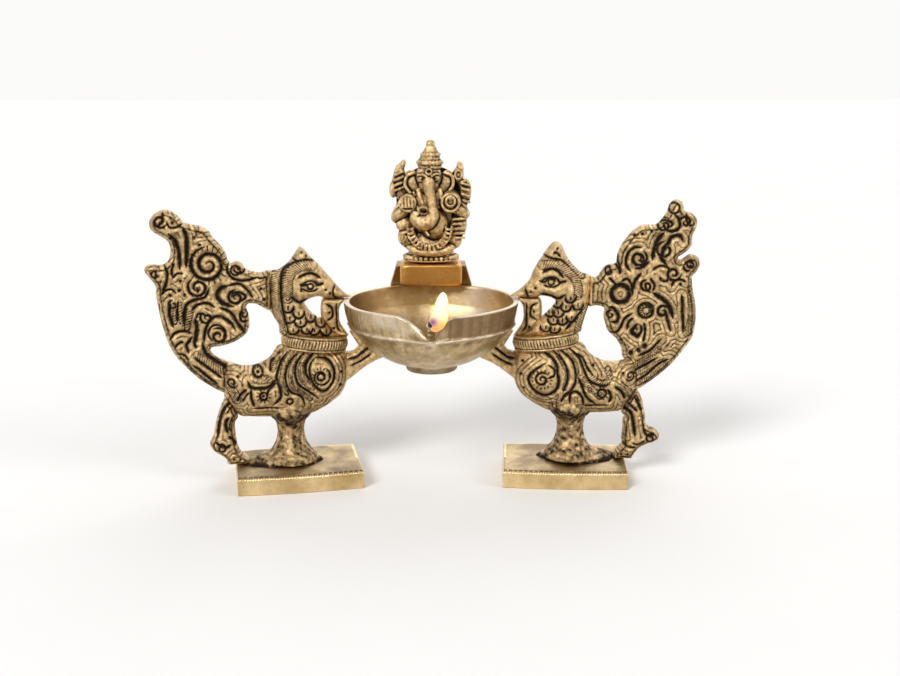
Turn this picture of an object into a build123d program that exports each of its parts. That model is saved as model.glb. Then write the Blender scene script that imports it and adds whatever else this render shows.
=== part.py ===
"""Brass oil lamp: a bowl held between two standing peacocks, with a seated elephant-headed figure behind it.

Frame: millimetres, +X to the right, +Y to the back, +Z up, origin on the table under the middle of the lamp.
Each bird is drawn on its own upright plane through its stem, where u runs outwards, away from the bowl.
"""

import os
from math import cos, radians, sin, tan

from build123d import *

# Bowl
BOWL_X = 2.1
BOWL_Y = -1.9
RIM_R = 29.0
RIM_Z = 61.5
RIDGE_SET_IN = 1.6
RIDGE_Z = 53.6
FLANK_SET_IN = 6.4
FLANK_Z = 47.2
BELLY_SET_IN = 13.6
BELLY_Z = 42.2
FLOOR_SET_IN = 19.5
FLOOR_Z = 40.0
FOOT_SET_IN = 20.4
FOOT_Z = 37.5
WALL = 1.8
RIDGE_R = RIM_R - RIDGE_SET_IN
FLANK_R = RIM_R - FLANK_SET_IN
BELLY_R = RIM_R - BELLY_SET_IN
FLOOR_R = RIM_R - FLOOR_SET_IN
FOOT_R = RIM_R - FOOT_SET_IN
SPOUT_TIP_R = 2.9
RIM_REACH = 4.4
RIDGE_REACH = 3.0
LOW_REACH = 1.2
NOTCH_Z = 54.6
NOTCH_HALF_WIDTH = 1.3
NOTCH_LEFT_BEND = (2.5, 3.0)
NOTCH_LEFT_FLARE = 10.0
NOTCH_RIGHT_BEND = (1.6, 4.0)
NOTCH_RIGHT_FLARE = 6.4
NOTCH_PAST_RIM = 1.0

# Bases
BASE_LENGTH = 41.5
BASE_DEPTH = 30.0
BASE_HEIGHT = 5.8
BASE_BOW = 0.9
BASE_EDGE = 0.5
BASE_SHIFT_U = -2.0
BASE_FORWARD = 1.6

# Birds
LEFT_TURN = 10.0
RIGHT_TURN = 4.0
BEAK_SEAT_ANGLE = 5.0
LEFT_BEAK_REACH = 19.2
RIGHT_BEAK_REACH = 18.4
BEAK_LAP = 3.0
STEM_R = 4.0
STEM_FLARE_R = 7.6
STEM_TOP_R = 7.4
STEM_WAIST_Z = 16.8
STEM_WAIST_HALF = 4.0
STEM_WAIST_SWELL = 1.1
STEM_INTO_BODY = 1.6
STEM_CORE_INTO_BODY = 4.0
PAD_HEIGHT = 3.2
PAD_LENGTH = 25.0
PAD_DEPTH = 11.5
PAD_TAPER = 14
PAD_SHIFT_U = 2.4
BODY_HALF_WIDTH = 8.4
BODY_FLOOR_Z = 22.3
CHEST_U = -19.6
RUMP_U = 20.5
RUMP_LOW_Z = 31.0
RUMP_HIGH_Z = 41.6
COLLAR_U = -9.0
COLLAR_Z = 45.4
COLLAR_HEIGHT = 4.0
COLLAR_TILT = 6.0
COLLAR_LENGTH = 22.4
COLLAR_DEPTH = 15.6
COLLAR_EDGE = 0.6
NAPE_U = 5.5
NAPE_LOW_Z = 58.4
LEFT_NAPE_HIGH_Z = 71.2
RIGHT_NAPE_HIGH_Z = 68.8
NECK_THICKNESS = 11.0
NAPE_THICKNESS = 7.0
BEAK_THICKNESS = 4.4
TAIL_THICKNESS = 7.0
LEG_THICKNESS = 7.5
STRUT_THICKNESS = 4.6
ARM_THICKNESS = 6.0

# Joints between castings
FIT = 0.05
SPIGOT_R = 3.0
SPIGOT_DEPTH = 5.0
TENON_HEIGHT = 5.0
TENON_WIDTH = 4.0
TENON_DEPTH = 4.0
PIN_R = 1.1
PIN_TOP_Z = 50.6
PIN_TOP_INSIDE_RIDGE = 0.6
PIN_FOOT_Z = 42.9
PIN_FOOT_INSIDE_FLANK = 0.4
STRUT_PAST_RIDGE = 2.2
STRUT_FOOT_RISE = 0.8
SCREW_R = 1.5
SCREW_HEAD_R = 3.0
SCREW_HEAD_HEIGHT = 1.8
SCREW_SLOT = 0.8
SCREW_INTO_STEM = 9.0
FIGURE_SCREW_INTO = 4.0
FIGURE_SCREW_BEHIND_RIM = 3.2

# Figure and its seat behind the rim
PLINTH_WIDTH = 21.8
PLINTH_DEPTH = 14.0
PLINTH_HEIGHT = 7.5
PLINTH_GAP = 0.5
PLINTH_OVERHANG = 9.5
PLINTH_EDGE = 0.6
BRACKET_TOP_WIDTH = 24.4
BRACKET_FOOT_WIDTH = 31.0
BRACKET_THICKNESS = 3.4
BRACKET_DROP = 4.5
BRACKET_RISE = 6.0
FIGURE_HALF_WIDTH = 14.4
LOTUS_HEIGHT = 5.6
LOTUS_HALF_WIDTH = 10.6
LOTUS_HALF_DEPTH = 6.6
ARM_LOBE_THICKNESS = 5.2

# Wick
WICK_DIAMETER = 3.4
WICK_LENGTH = 33.0
WICK_SLOPE = 30.0
WICK_PAST_RIM = 3.4
WICK_TIP_BELOW_RIM = 1.1

os.makedirs("parts", exist_ok=True)


def finish(builder, name):
    """Label a piece and write its STEP file."""
    builder.part.label = name
    export_step(builder.part, f"parts/{name}.step")


class Side:
    """Where one bird stands: its upright drawing plane, and other planes turned with it."""

    def __init__(self, name, sign, turn, reach, nape_high):
        self.name = name
        self.sign = sign
        self.reach = reach
        self.nape_high = nape_high
        seat_x = BOWL_X + sign * RIM_R * cos(radians(BEAK_SEAT_ANGLE))
        seat_y = BOWL_Y + RIM_R * sin(radians(BEAK_SEAT_ANGLE))
        self.out = (sign * cos(radians(turn)), -sin(radians(turn)))
        self.x = seat_x + reach * self.out[0]
        self.y = seat_y + reach * self.out[1]
        normal = (self.out[1], -self.out[0], 0)
        self.upright = Plane(origin=(self.x, self.y, 0), x_dir=(*self.out, 0), z_dir=normal)
        self.ridge_u = -reach - RIDGE_SET_IN
        self.flank_u = -reach - FLANK_SET_IN
        pin_top_u = self.ridge_u - PIN_TOP_INSIDE_RIDGE
        pin_foot_u = self.flank_u - PIN_FOOT_INSIDE_FLANK
        self.pin_run = (pin_foot_u - pin_top_u, PIN_FOOT_Z - PIN_TOP_Z)
        self.pin_top_u = pin_top_u
        self.pin_length = (self.pin_run[0] ** 2 + self.pin_run[1] ** 2) ** 0.5

    def level(self, u, forward, z):
        """A level plane at a point of the bird, with its x axis along the bird."""
        back = (-self.sign * self.out[1], self.sign * self.out[0])
        x = self.x + u * self.out[0] - forward * back[0]
        y = self.y + u * self.out[1] - forward * back[1]
        return Plane(origin=(x, y, z), x_dir=(*self.out, 0), z_dir=(0, 0, 1))

    def across(self, u):
        """An upright plane square to the bird, this far from its stem."""
        origin = (self.x + u * self.out[0], self.y + u * self.out[1], 0)
        return Plane(origin=origin, x_dir=(-self.out[1], self.out[0], 0), z_dir=(*self.out, 0))

    def collar(self, height):
        """The tilted plane of the collar, raised by height along its own normal."""
        tilt = radians(COLLAR_TILT)
        u = COLLAR_U - height * sin(tilt)
        origin = (self.x + u * self.out[0], self.y + u * self.out[1], COLLAR_Z + height * cos(tilt))
        along = (self.out[0] * cos(tilt), self.out[1] * cos(tilt), sin(tilt))
        up = (-self.out[0] * sin(tilt), -self.out[1] * sin(tilt), cos(tilt))
        return Plane(origin=origin, x_dir=along, z_dir=up)

    def pin(self):
        """The plane square to the slanting pin at its top, looking down along it."""
        origin = (self.x + self.pin_top_u * self.out[0], self.y + self.pin_top_u * self.out[1], PIN_TOP_Z)
        down = (self.pin_run[0] * self.out[0], self.pin_run[0] * self.out[1], self.pin_run[1])
        return Plane(origin=origin, x_dir=(-self.out[1], self.out[0], 0), z_dir=down)


def collar_line(u, height):
    """Height above the table of the collar's plane, raised by height, at u."""
    tilt = radians(COLLAR_TILT)
    return COLLAR_Z + height / cos(tilt) + (u - COLLAR_U) * tan(tilt)


THROAT = (-11.7, 54.7)
THROAT_FOOT = (-18.2, collar_line(-18.2, COLLAR_HEIGHT))
NAPE_FOOT = (2.0, collar_line(2.0, COLLAR_HEIGHT))
NAPE_HOLLOW = (3.3, 53.4)
CHIN_U = -12.2

# Outlines on a bird's upright plane, as (u, z)
LEFT_FAN_EDGE = [
    (10.0, 71.3),
    (12.9, 72.4),
    (15.6, 75.1),
    (17.9, 74.6),
    (19.3, 78.2),
    (23.1, 83.1),
    (26.5, 86.7),
    (32.0, 88.2),
    (35.0, 91.6),
    (38.6, 92.5),
    (42.4, 90.0),
    (42.0, 85.6),
    (37.8, 82.8),
    (36.7, 78.8),
    (38.4, 75.0),
    (42.6, 74.9),
    (45.2, 73.0),
    (42.7, 69.2),
    (41.9, 64.8),
    (41.1, 57.7),
    (39.1, 48.9),
    (35.5, 42.3),
    (28.9, 35.4),
]
LEFT_FAN_WINDOW = [
    (24.2, 44.0),
    (25.4, 45.8),
    (21.9, 47.0),
    (17.0, 48.4),
    (13.0, 51.6),
    (12.4, 56.0),
    (13.0, 59.4),
    (10.4, 60.8),
]
RIGHT_FAN_EDGE = [
    (8.4, 69.7),
    (10.9, 72.8),
    (13.6, 73.2),
    (14.4, 77.1),
    (19.0, 84.1),
    (26.3, 86.2),
    (29.8, 90.4),
    (32.0, 94.4),
    (34.9, 93.5),
    (36.4, 90.6),
    (39.6, 88.0),
    (38.6, 82.9),
    (37.9, 79.0),
    (34.4, 75.4),
    (38.4, 76.7),
    (41.4, 73.9),
    (39.3, 69.6),
    (39.6, 64.6),
    (40.9, 57.0),
    (39.9, 48.4),
    (33.9, 40.0),
    (27.0, 33.6),
]
RIGHT_FAN_WINDOW = [
    (17.6, 42.2),
    (16.3, 45.2),
    (13.4, 48.8),
    (11.3, 51.8),
    (10.2, 55.4),
    (10.2, 58.4),
    (7.6, 59.2),
]
LEFT_CROWN = [(2.5, 71.9), (-1.1, 74.4), (-4.8, 79.2)]
LEFT_FACE = [(-4.8, 79.2), (-8.4, 75.6), (-13.6, 69.8), (-19.1, 63.6)]
RIGHT_CROWN = [(0.5, 71.9), (-3.2, 77.2), (-6.0, 80.5)]
RIGHT_FACE = [(-6.0, 80.5), (-9.5, 77.2), (-13.6, 70.4), (-19.1, 63.6)]
CHIN_OPENING = [(-10.2, 62.4), (-7.4, 61.9), (-6.0, 60.6), (-7.9, 57.4)]
LEG_TOP = [(16.6, 22.9), (21.2, 30.0)]
LEG_OUTER = [(21.2, 30.0), (23.2, 25.6), (24.8, 20.4), (26.0, 16.4), (27.2, 13.5), (25.6, 10.8), (22.6, 8.6)]
LEG_INNER = [(16.6, 22.9), (18.5, 20.4), (18.3, 17.0), (17.9, 12.6), (16.9, 9.8)]
LEG_HEEL_U = 14.6
LEG_TOE_U = 21.4

# Chest arm: heights at the chest, then points as (distance past the bowl's flank, z)
ARM_ROOT = (34.8, 42.6)
ARM_UNDER = [(-1.3, 37.4), (2.7, 39.3), (6.4, 41.0)]
ARM_OVER = [(6.4, 45.0), (0.8, 49.0), (-1.6, 44.6)]

# Body sections across the bird: (u, lowest z, highest z, share of the full width)
BODY_SECTIONS = [
    (CHEST_U, 33.2, 43.6, 0.5),
    (-17.6, 29.0, 46.6, 0.76),
    (-14.0, 25.6, 48.6, 0.94),
    (-8.0, BODY_FLOOR_Z, 49.6, 1.0),
    (0.0, 21.6, 46.8, 1.0),
    (7.0, 21.9, 41.4, 0.94),
    (14.0, 22.4, 39.4, 0.78),
    (RUMP_U, 25.2, RUMP_HIGH_Z, 0.52),
]

# Seated figure: (height above the plinth, half width, half depth)
FIGURE_SECTIONS = [
    (LOTUS_HEIGHT, 9.4, 6.0),
    (9.4, 10.4, 6.3),
    (14.4, 7.6, 5.6),
    (20.0, 7.6, 5.2),
    (25.2, 5.6, 4.6),
    (30.0, 6.2, 4.8),
    (34.0, 5.0, 4.2),
    (37.4, 3.6, 3.2),
    (40.4, 2.2, 2.0),
    (42.7, 0.8, 0.8),
]
ARM_LOBE = [
    (5.0, 13.0),
    (9.4, 16.6),
    (13.2, 20.2),
    (FIGURE_HALF_WIDTH, 27.0),
    (13.0, 34.4),
    (9.6, 35.6),
    (7.4, 30.0),
]


def facing_front(y):
    """An upright plane square to the front, its x axis to the right from the bowl's axis."""
    return Plane(origin=(BOWL_X, y, 0), x_dir=(1, 0, 0), z_dir=(0, -1, 0))


def bowl_section(z, radius, reach):
    """Plan of the bowl at height z: a circle drawn out to a pinched spout at the front."""
    with BuildSketch(Plane((BOWL_X, BOWL_Y, z))) as plan:
        Circle(radius)
        with Locations((0, SPOUT_TIP_R - radius - reach)):
            Circle(SPOUT_TIP_R)
        make_hull()
    return plan.sketch


def bowl_space(grow, floor_z, rim_z):
    """The solid space inside the bowl's outer surface, grown all round, between two heights."""
    low = [
        bowl_section(floor_z, FLOOR_R + grow, LOW_REACH),
        bowl_section(BELLY_Z - grow, BELLY_R + grow, LOW_REACH),
        bowl_section(FLANK_Z - grow, FLANK_R + grow, LOW_REACH),
        bowl_section(RIDGE_Z, RIDGE_R + grow, RIDGE_REACH),
    ]
    with BuildPart() as space:
        loft(low)
        loft([low[-1], bowl_section(rim_z, RIM_R + grow, RIM_REACH)])
    return space.part


def make_bowl():
    """Cast bowl with a ridge under its rim band, a small foot and a notch in its spout."""
    outside = bowl_space(0, FLOOR_Z, RIM_Z)
    inside = bowl_space(-WALL, FLOOR_Z + WALL, RIM_Z + WALL)
    with BuildPart() as bowl:
        add(outside)
        with BuildSketch(Plane((BOWL_X, BOWL_Y, FOOT_Z))):
            Circle(FOOT_R)
        extrude(amount=FLOOR_Z - FOOT_Z)
        add(inside, mode=Mode.SUBTRACT)
        with BuildSketch(facing_front(BOWL_Y)):
            with BuildLine():
                Polyline(
                    (-NOTCH_HALF_WIDTH, NOTCH_Z),
                    (-NOTCH_HALF_WIDTH - NOTCH_LEFT_BEND[0], NOTCH_Z + NOTCH_LEFT_BEND[1]),
                    (-NOTCH_HALF_WIDTH - NOTCH_LEFT_FLARE, RIM_Z + NOTCH_PAST_RIM),
                    (NOTCH_HALF_WIDTH + NOTCH_RIGHT_FLARE, RIM_Z + NOTCH_PAST_RIM),
                    (NOTCH_HALF_WIDTH + NOTCH_RIGHT_BEND[0], NOTCH_Z + NOTCH_RIGHT_BEND[1]),
                    (NOTCH_HALF_WIDTH, NOTCH_Z),
                    close=True,
                )
            make_face()
        extrude(amount=RIM_R + 2 * RIM_REACH, mode=Mode.SUBTRACT)
    finish(bowl, "bowl")


def make_base(side):
    """Cast slab, its long sides slightly bowed, with a counterbored hole for the foot screw."""
    half_l = BASE_LENGTH / 2
    half_d = BASE_DEPTH / 2
    with BuildPart() as slab:
        with BuildSketch(side.level(BASE_SHIFT_U, BASE_FORWARD, 0)):
            with BuildLine():
                Line((-half_l, -half_d), (-half_l, half_d))
                ThreePointArc((-half_l, half_d), (0, half_d + BASE_BOW), (half_l, half_d))
                Line((half_l, half_d), (half_l, -half_d))
                ThreePointArc((half_l, -half_d), (0, -half_d - BASE_BOW), (-half_l, -half_d))
            make_face()
        extrude(amount=BASE_HEIGHT)
        chamfer(slab.faces().sort_by(Axis.Z)[-1].edges(), BASE_EDGE)
        with BuildSketch(side.level(0, 0, 0)):
            Circle(SCREW_HEAD_R + FIT)
        extrude(amount=SCREW_HEAD_HEIGHT + 2 * FIT, mode=Mode.SUBTRACT)
        with BuildSketch(side.level(0, 0, 0)):
            Circle(SCREW_R + FIT)
        extrude(amount=BASE_HEIGHT, mode=Mode.SUBTRACT)
    finish(slab, f"{side.name}_base")


def make_foot_screw(side):
    """Slotted screw up through the base into the stem, its head sunk flush."""
    with BuildPart() as screw:
        with BuildSketch(side.level(0, 0, FIT)):
            Circle(SCREW_HEAD_R)
        extrude(amount=SCREW_HEAD_HEIGHT)
        with BuildSketch(side.level(0, 0, FIT)):
            Circle(SCREW_R)
        extrude(amount=BASE_HEIGHT + SCREW_INTO_STEM)
        with BuildSketch(side.level(0, 0, FIT)):
            Rectangle(2 * SCREW_HEAD_R, SCREW_SLOT)
        extrude(amount=SCREW_SLOT, mode=Mode.SUBTRACT)
    finish(screw, f"{side.name}_foot_screw")


def leg_outline(side):
    """Outline of the plume that droops from the rump to the corner of the base."""
    with BuildSketch(side.upright) as outline:
        with BuildLine():
            Spline(*LEG_OUTER, (LEG_TOE_U, BASE_HEIGHT))
            Line((LEG_TOE_U, BASE_HEIGHT), (LEG_HEEL_U, BASE_HEIGHT))
            Spline((LEG_HEEL_U, BASE_HEIGHT), *reversed(LEG_INNER))
            Line(*LEG_TOP)
        make_face()
    return outline.sketch


def make_leg_plume(side):
    """Rear prop, standing on the corner of the base and seated against the rump's flat."""
    with BuildPart() as leg:
        extrude(leg_outline(side), amount=LEG_THICKNESS / 2, both=True)
    finish(leg, f"{side.name}_leg_plume")


def make_body(side):
    """Plump body on its stem and foot pad, one casting, cut flat where the other castings seat."""
    with BuildPart() as casting:
        for u, low, high, share in BODY_SECTIONS:
            with BuildSketch(side.across(u)):
                with Locations((0, (low + high) / 2)):
                    Ellipse(BODY_HALF_WIDTH * share, (high - low) / 2)
        loft()
        with BuildSketch(side.upright):
            with BuildLine():
                Polyline(
                    (0, BODY_FLOOR_Z + STEM_CORE_INTO_BODY),
                    (0, BASE_HEIGHT),
                    (STEM_FLARE_R, BASE_HEIGHT),
                    (STEM_FLARE_R, BASE_HEIGHT + PAD_HEIGHT / 2),
                )
                Spline(
                    (STEM_FLARE_R, BASE_HEIGHT + PAD_HEIGHT / 2),
                    (STEM_R + STEM_WAIST_SWELL, STEM_WAIST_Z - STEM_WAIST_HALF),
                    (STEM_R, STEM_WAIST_Z),
                    (STEM_R + STEM_WAIST_SWELL, STEM_WAIST_Z + STEM_WAIST_HALF),
                    (STEM_TOP_R, BODY_FLOOR_Z + STEM_INTO_BODY),
                )
                Line((STEM_TOP_R, BODY_FLOOR_Z + STEM_INTO_BODY), (0, BODY_FLOOR_Z + STEM_CORE_INTO_BODY))
            make_face()
        revolve(axis=Axis((side.x, side.y, 0), (0, 0, 1)))
        with BuildSketch(side.level(PAD_SHIFT_U, 0, BASE_HEIGHT)):
            Ellipse(PAD_LENGTH / 2, PAD_DEPTH / 2)
        extrude(amount=PAD_HEIGHT, taper=PAD_TAPER)
        with BuildSketch(side.collar(0)):
            Rectangle(3 * COLLAR_LENGTH, 3 * COLLAR_DEPTH)
        extrude(amount=COLLAR_LENGTH, mode=Mode.SUBTRACT)
        with BuildSketch(side.collar(0)):
            Circle(SPIGOT_R + FIT)
        extrude(amount=-SPIGOT_DEPTH - FIT, mode=Mode.SUBTRACT)
        extrude(leg_outline(side), amount=BODY_HALF_WIDTH, both=True, mode=Mode.SUBTRACT)
        with BuildSketch(side.level(0, 0, BASE_HEIGHT)):
            Circle(SCREW_R + FIT)
        extrude(amount=SCREW_INTO_STEM + 2 * FIT, mode=Mode.SUBTRACT)
        with BuildSketch(side.across(RUMP_U)):
            with Locations((0, (RUMP_LOW_Z + RUMP_HIGH_Z) / 2)):
                Rectangle(TENON_WIDTH + 2 * FIT, TENON_HEIGHT + 2 * FIT)
        extrude(amount=-TENON_DEPTH - FIT, mode=Mode.SUBTRACT)
    finish(casting, f"{side.name}_body")


def make_collar(side):
    """Ribbed ring between the body and the neck, round the neck's spigot."""
    with BuildPart() as ring:
        with BuildSketch(side.collar(0)):
            Ellipse(COLLAR_LENGTH / 2, COLLAR_DEPTH / 2)
        extrude(amount=COLLAR_HEIGHT)
        chamfer(ring.edges(), COLLAR_EDGE)
        with BuildSketch(side.collar(0)):
            Circle(SPIGOT_R + FIT)
        extrude(amount=COLLAR_HEIGHT, mode=Mode.SUBTRACT)
    finish(ring, f"{side.name}_collar")


def make_tail_fan(side, edge, window):
    """Tail fan with its root tenon in the rump and its bridge against the nape."""
    with BuildPart() as tail:
        with BuildSketch(side.upright):
            with BuildLine():
                Line((NAPE_U, NAPE_LOW_Z), (NAPE_U, side.nape_high))
                Spline((NAPE_U, side.nape_high), *edge, (RUMP_U, RUMP_LOW_Z))
                Line((RUMP_U, RUMP_LOW_Z), (RUMP_U, RUMP_HIGH_Z))
                Spline((RUMP_U, RUMP_HIGH_Z), *window, (NAPE_U, NAPE_LOW_Z))
            make_face()
        extrude(amount=TAIL_THICKNESS / 2, both=True)
        with BuildSketch(side.across(RUMP_U)):
            with Locations((0, (RUMP_LOW_Z + RUMP_HIGH_Z) / 2)):
                Rectangle(TENON_WIDTH, TENON_HEIGHT)
        extrude(amount=-TENON_DEPTH)
    finish(tail, f"{side.name}_tail_fan")


def make_neck_head(side, crown, face, seat):
    """Neck, crested head and the beak that laps over the rim, one casting with a spigot below."""
    collar_top = side.collar(COLLAR_HEIGHT)
    beak_end = -side.reach - BEAK_LAP
    with BuildPart() as casting:
        with BuildSketch(side.upright):
            with BuildLine():
                Line((NAPE_U, NAPE_LOW_Z), (NAPE_U, side.nape_high))
                Spline((NAPE_U, side.nape_high), *crown)
                Spline(*face)
                Polyline(face[-1], (beak_end, RIM_Z + FIT), (CHIN_U, RIM_Z + FIT))
                Spline((CHIN_U, RIM_Z + FIT), *CHIN_OPENING, THROAT)
                Polyline(THROAT, THROAT_FOOT, NAPE_FOOT)
                Spline(NAPE_FOOT, NAPE_HOLLOW, (NAPE_U, NAPE_LOW_Z))
            make_face()
        extrude(amount=NECK_THICKNESS / 2, both=True)
        with BuildSketch(side.level(0, 0, COLLAR_Z - SPIGOT_DEPTH)):
            with BuildLine():
                Polyline(
                    (NAPE_U, NAPE_THICKNESS / 2),
                    (0, NECK_THICKNESS / 2),
                    (CHIN_U, NECK_THICKNESS / 2),
                    (beak_end, BEAK_THICKNESS / 2),
                    (beak_end, -BEAK_THICKNESS / 2),
                    (CHIN_U, -NECK_THICKNESS / 2),
                    (0, -NECK_THICKNESS / 2),
                    (NAPE_U, -NAPE_THICKNESS / 2),
                    close=True,
                )
            make_face()
        extrude(amount=2 * COLLAR_Z, mode=Mode.INTERSECT)
        with BuildSketch(collar_top):
            Circle(SPIGOT_R)
        extrude(amount=-COLLAR_HEIGHT - SPIGOT_DEPTH)
        add(seat, mode=Mode.SUBTRACT)
    finish(casting, f"{side.name}_neck_head")


def make_beak_strut(side, seat):
    """Small vine casting that fills in between the beak, the throat and the bowl's rim band."""
    strut_foot = (side.ridge_u - STRUT_PAST_RIDGE, THROAT_FOOT[1] + STRUT_FOOT_RISE)
    with BuildPart() as strut:
        with BuildSketch(side.upright):
            with BuildLine():
                Polyline(
                    (CHIN_U, RIM_Z),
                    THROAT,
                    THROAT_FOOT,
                    strut_foot,
                    (strut_foot[0], RIM_Z),
                    close=True,
                )
            make_face()
        extrude(amount=STRUT_THICKNESS / 2, both=True)
        add(seat, mode=Mode.SUBTRACT)
        with BuildSketch(side.pin()):
            Circle(PIN_R + FIT)
        extrude(amount=side.pin_length, mode=Mode.SUBTRACT)
    finish(strut, f"{side.name}_beak_strut")


def make_chest_arm(side, seat):
    """Tongue from the chest that carries the underside of the bowl."""
    root = [(CHEST_U, z) for z in ARM_ROOT]
    under = [(side.flank_u - u, z) for u, z in ARM_UNDER]
    over = [(side.flank_u - u, z) for u, z in ARM_OVER]
    with BuildPart() as arm:
        with BuildSketch(side.upright):
            with BuildLine():
                Spline(root[0], *under)
                Polyline(under[-1], *over[:2])
                Spline(*over[1:], root[1])
                Line(root[1], root[0])
            make_face()
        extrude(amount=ARM_THICKNESS / 2, both=True)
        add(seat, mode=Mode.SUBTRACT)
        with BuildSketch(side.pin()):
            Circle(PIN_R + FIT)
        extrude(amount=side.pin_length + FIT, mode=Mode.SUBTRACT)
    finish(arm, f"{side.name}_chest_arm")


def make_arm_pin(side):
    """Slanting pin from the foot of the strut down into the chest arm."""
    with BuildPart() as pin:
        with BuildSketch(side.pin()):
            Circle(PIN_R)
        extrude(amount=side.pin_length)
    finish(pin, f"{side.name}_arm_pin")


PLINTH_FRONT_Y = BOWL_Y + RIM_R - PLINTH_OVERHANG
PLINTH_Y = PLINTH_FRONT_Y + PLINTH_DEPTH / 2
PLINTH_Z = RIM_Z + PLINTH_GAP
SEAT_Z = PLINTH_Z + PLINTH_HEIGHT
FIGURE_SCREW_Y = BOWL_Y + RIM_R + FIGURE_SCREW_BEHIND_RIM
BRACKET_FOOT_Z = RIM_Z - BRACKET_DROP


def screw_bore(z):
    """Section of the bore for the figure's screw, at height z."""
    with BuildSketch(Plane((BOWL_X, FIGURE_SCREW_Y, z))) as bore:
        Circle(SCREW_R + FIT)
    return bore.sketch


def make_plinth():
    """Smooth block under the lotus seat, lapping over the back of the rim."""
    with BuildPart() as plinth:
        with BuildSketch(Plane((BOWL_X, PLINTH_Y, PLINTH_Z))):
            Rectangle(PLINTH_WIDTH, PLINTH_DEPTH)
        extrude(amount=PLINTH_HEIGHT)
        chamfer(plinth.edges().filter_by(Axis.Z), PLINTH_EDGE)
        extrude(screw_bore(PLINTH_Z), amount=PLINTH_HEIGHT, mode=Mode.SUBTRACT)
    finish(plinth, "figure_plinth")


def make_bracket(seat):
    """Wedge behind the rim: a shelf under the plinth with a plate up its back."""
    back_y = PLINTH_Y + PLINTH_DEPTH / 2 + BRACKET_THICKNESS
    depth = back_y - BOWL_Y - RIM_R / 2
    with BuildPart() as bracket:
        with BuildSketch(facing_front(back_y)):
            with BuildLine():
                Polyline(
                    (-BRACKET_FOOT_WIDTH / 2, BRACKET_FOOT_Z),
                    (-BRACKET_TOP_WIDTH / 2, PLINTH_Z + BRACKET_RISE),
                    (BRACKET_TOP_WIDTH / 2, PLINTH_Z + BRACKET_RISE),
                    (BRACKET_FOOT_WIDTH / 2, BRACKET_FOOT_Z),
                    close=True,
                )
            make_face()
        extrude(amount=depth)
        with BuildSketch(Plane((BOWL_X, BOWL_Y, BRACKET_FOOT_Z))):
            Circle(RIM_R - WALL / 2)
        extrude(amount=COLLAR_Z, mode=Mode.SUBTRACT)
        add(seat, mode=Mode.SUBTRACT)
        with BuildSketch(Plane((BOWL_X, PLINTH_Y - PLINTH_DEPTH / 2, PLINTH_Z))):
            Rectangle(PLINTH_WIDTH + 2 * FIT, 2 * PLINTH_DEPTH)
        extrude(amount=PLINTH_HEIGHT, mode=Mode.SUBTRACT)
        extrude(screw_bore(BRACKET_FOOT_Z), amount=PLINTH_HEIGHT + BRACKET_DROP, mode=Mode.SUBTRACT)
    finish(bracket, "figure_bracket")


def make_figure():
    """Seated figure on a lotus, crowned, with four arms; the two raised arms stand out at the sides."""
    with BuildPart() as figure:
        with BuildSketch(Plane((BOWL_X, PLINTH_Y, SEAT_Z))):
            Ellipse(LOTUS_HALF_WIDTH, LOTUS_HALF_DEPTH)
        extrude(amount=LOTUS_HEIGHT)
        for height, half_width, half_depth in FIGURE_SECTIONS:
            with BuildSketch(Plane((BOWL_X, PLINTH_Y, SEAT_Z + height))):
                Ellipse(half_width, half_depth)
        loft()
        for sign in (-1, 1):
            lobe = [(sign * x, SEAT_Z + z) for x, z in ARM_LOBE]
            with BuildSketch(facing_front(PLINTH_Y)):
                with BuildLine():
                    Spline(*lobe, periodic=True)
                make_face()
            extrude(amount=ARM_LOBE_THICKNESS / 2, both=True)
        extrude(screw_bore(SEAT_Z), amount=FIGURE_SCREW_INTO + FIT, mode=Mode.SUBTRACT)
    finish(figure, "figure")


def make_figure_screw():
    """Screw up through the bracket's shelf and the plinth into the lotus seat."""
    with BuildPart() as screw:
        with BuildSketch(Plane((BOWL_X, FIGURE_SCREW_Y, BRACKET_FOOT_Z - SCREW_HEAD_HEIGHT))):
            Circle(SCREW_HEAD_R)
        extrude(amount=SCREW_HEAD_HEIGHT)
        with BuildSketch(Plane((BOWL_X, FIGURE_SCREW_Y, BRACKET_FOOT_Z))):
            Circle(SCREW_R)
        extrude(amount=SEAT_Z + FIGURE_SCREW_INTO - BRACKET_FOOT_Z)
        with BuildSketch(Plane((BOWL_X, FIGURE_SCREW_Y, BRACKET_FOOT_Z - SCREW_HEAD_HEIGHT))):
            Rectangle(2 * SCREW_HEAD_R, SCREW_SLOT)
        extrude(amount=SCREW_SLOT, mode=Mode.SUBTRACT)
    finish(screw, "figure_screw")


def make_wick():
    """Twisted cotton wick, lying from the spout's notch down to the floor of the bowl."""
    tip_y = BOWL_Y - RIM_R - WICK_PAST_RIM
    tip = (BOWL_X, tip_y, RIM_Z - WICK_TIP_BELOW_RIM)
    inward = (0, cos(radians(WICK_SLOPE)), -sin(radians(WICK_SLOPE)))
    with BuildPart() as wick:
        with BuildSketch(Plane(origin=tip, x_dir=(1, 0, 0), z_dir=inward)):
            Circle(WICK_DIAMETER / 2)
        extrude(amount=WICK_LENGTH)
        chamfer(wick.edges(), WICK_DIAMETER / 8)
    finish(wick, "wick")


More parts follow.
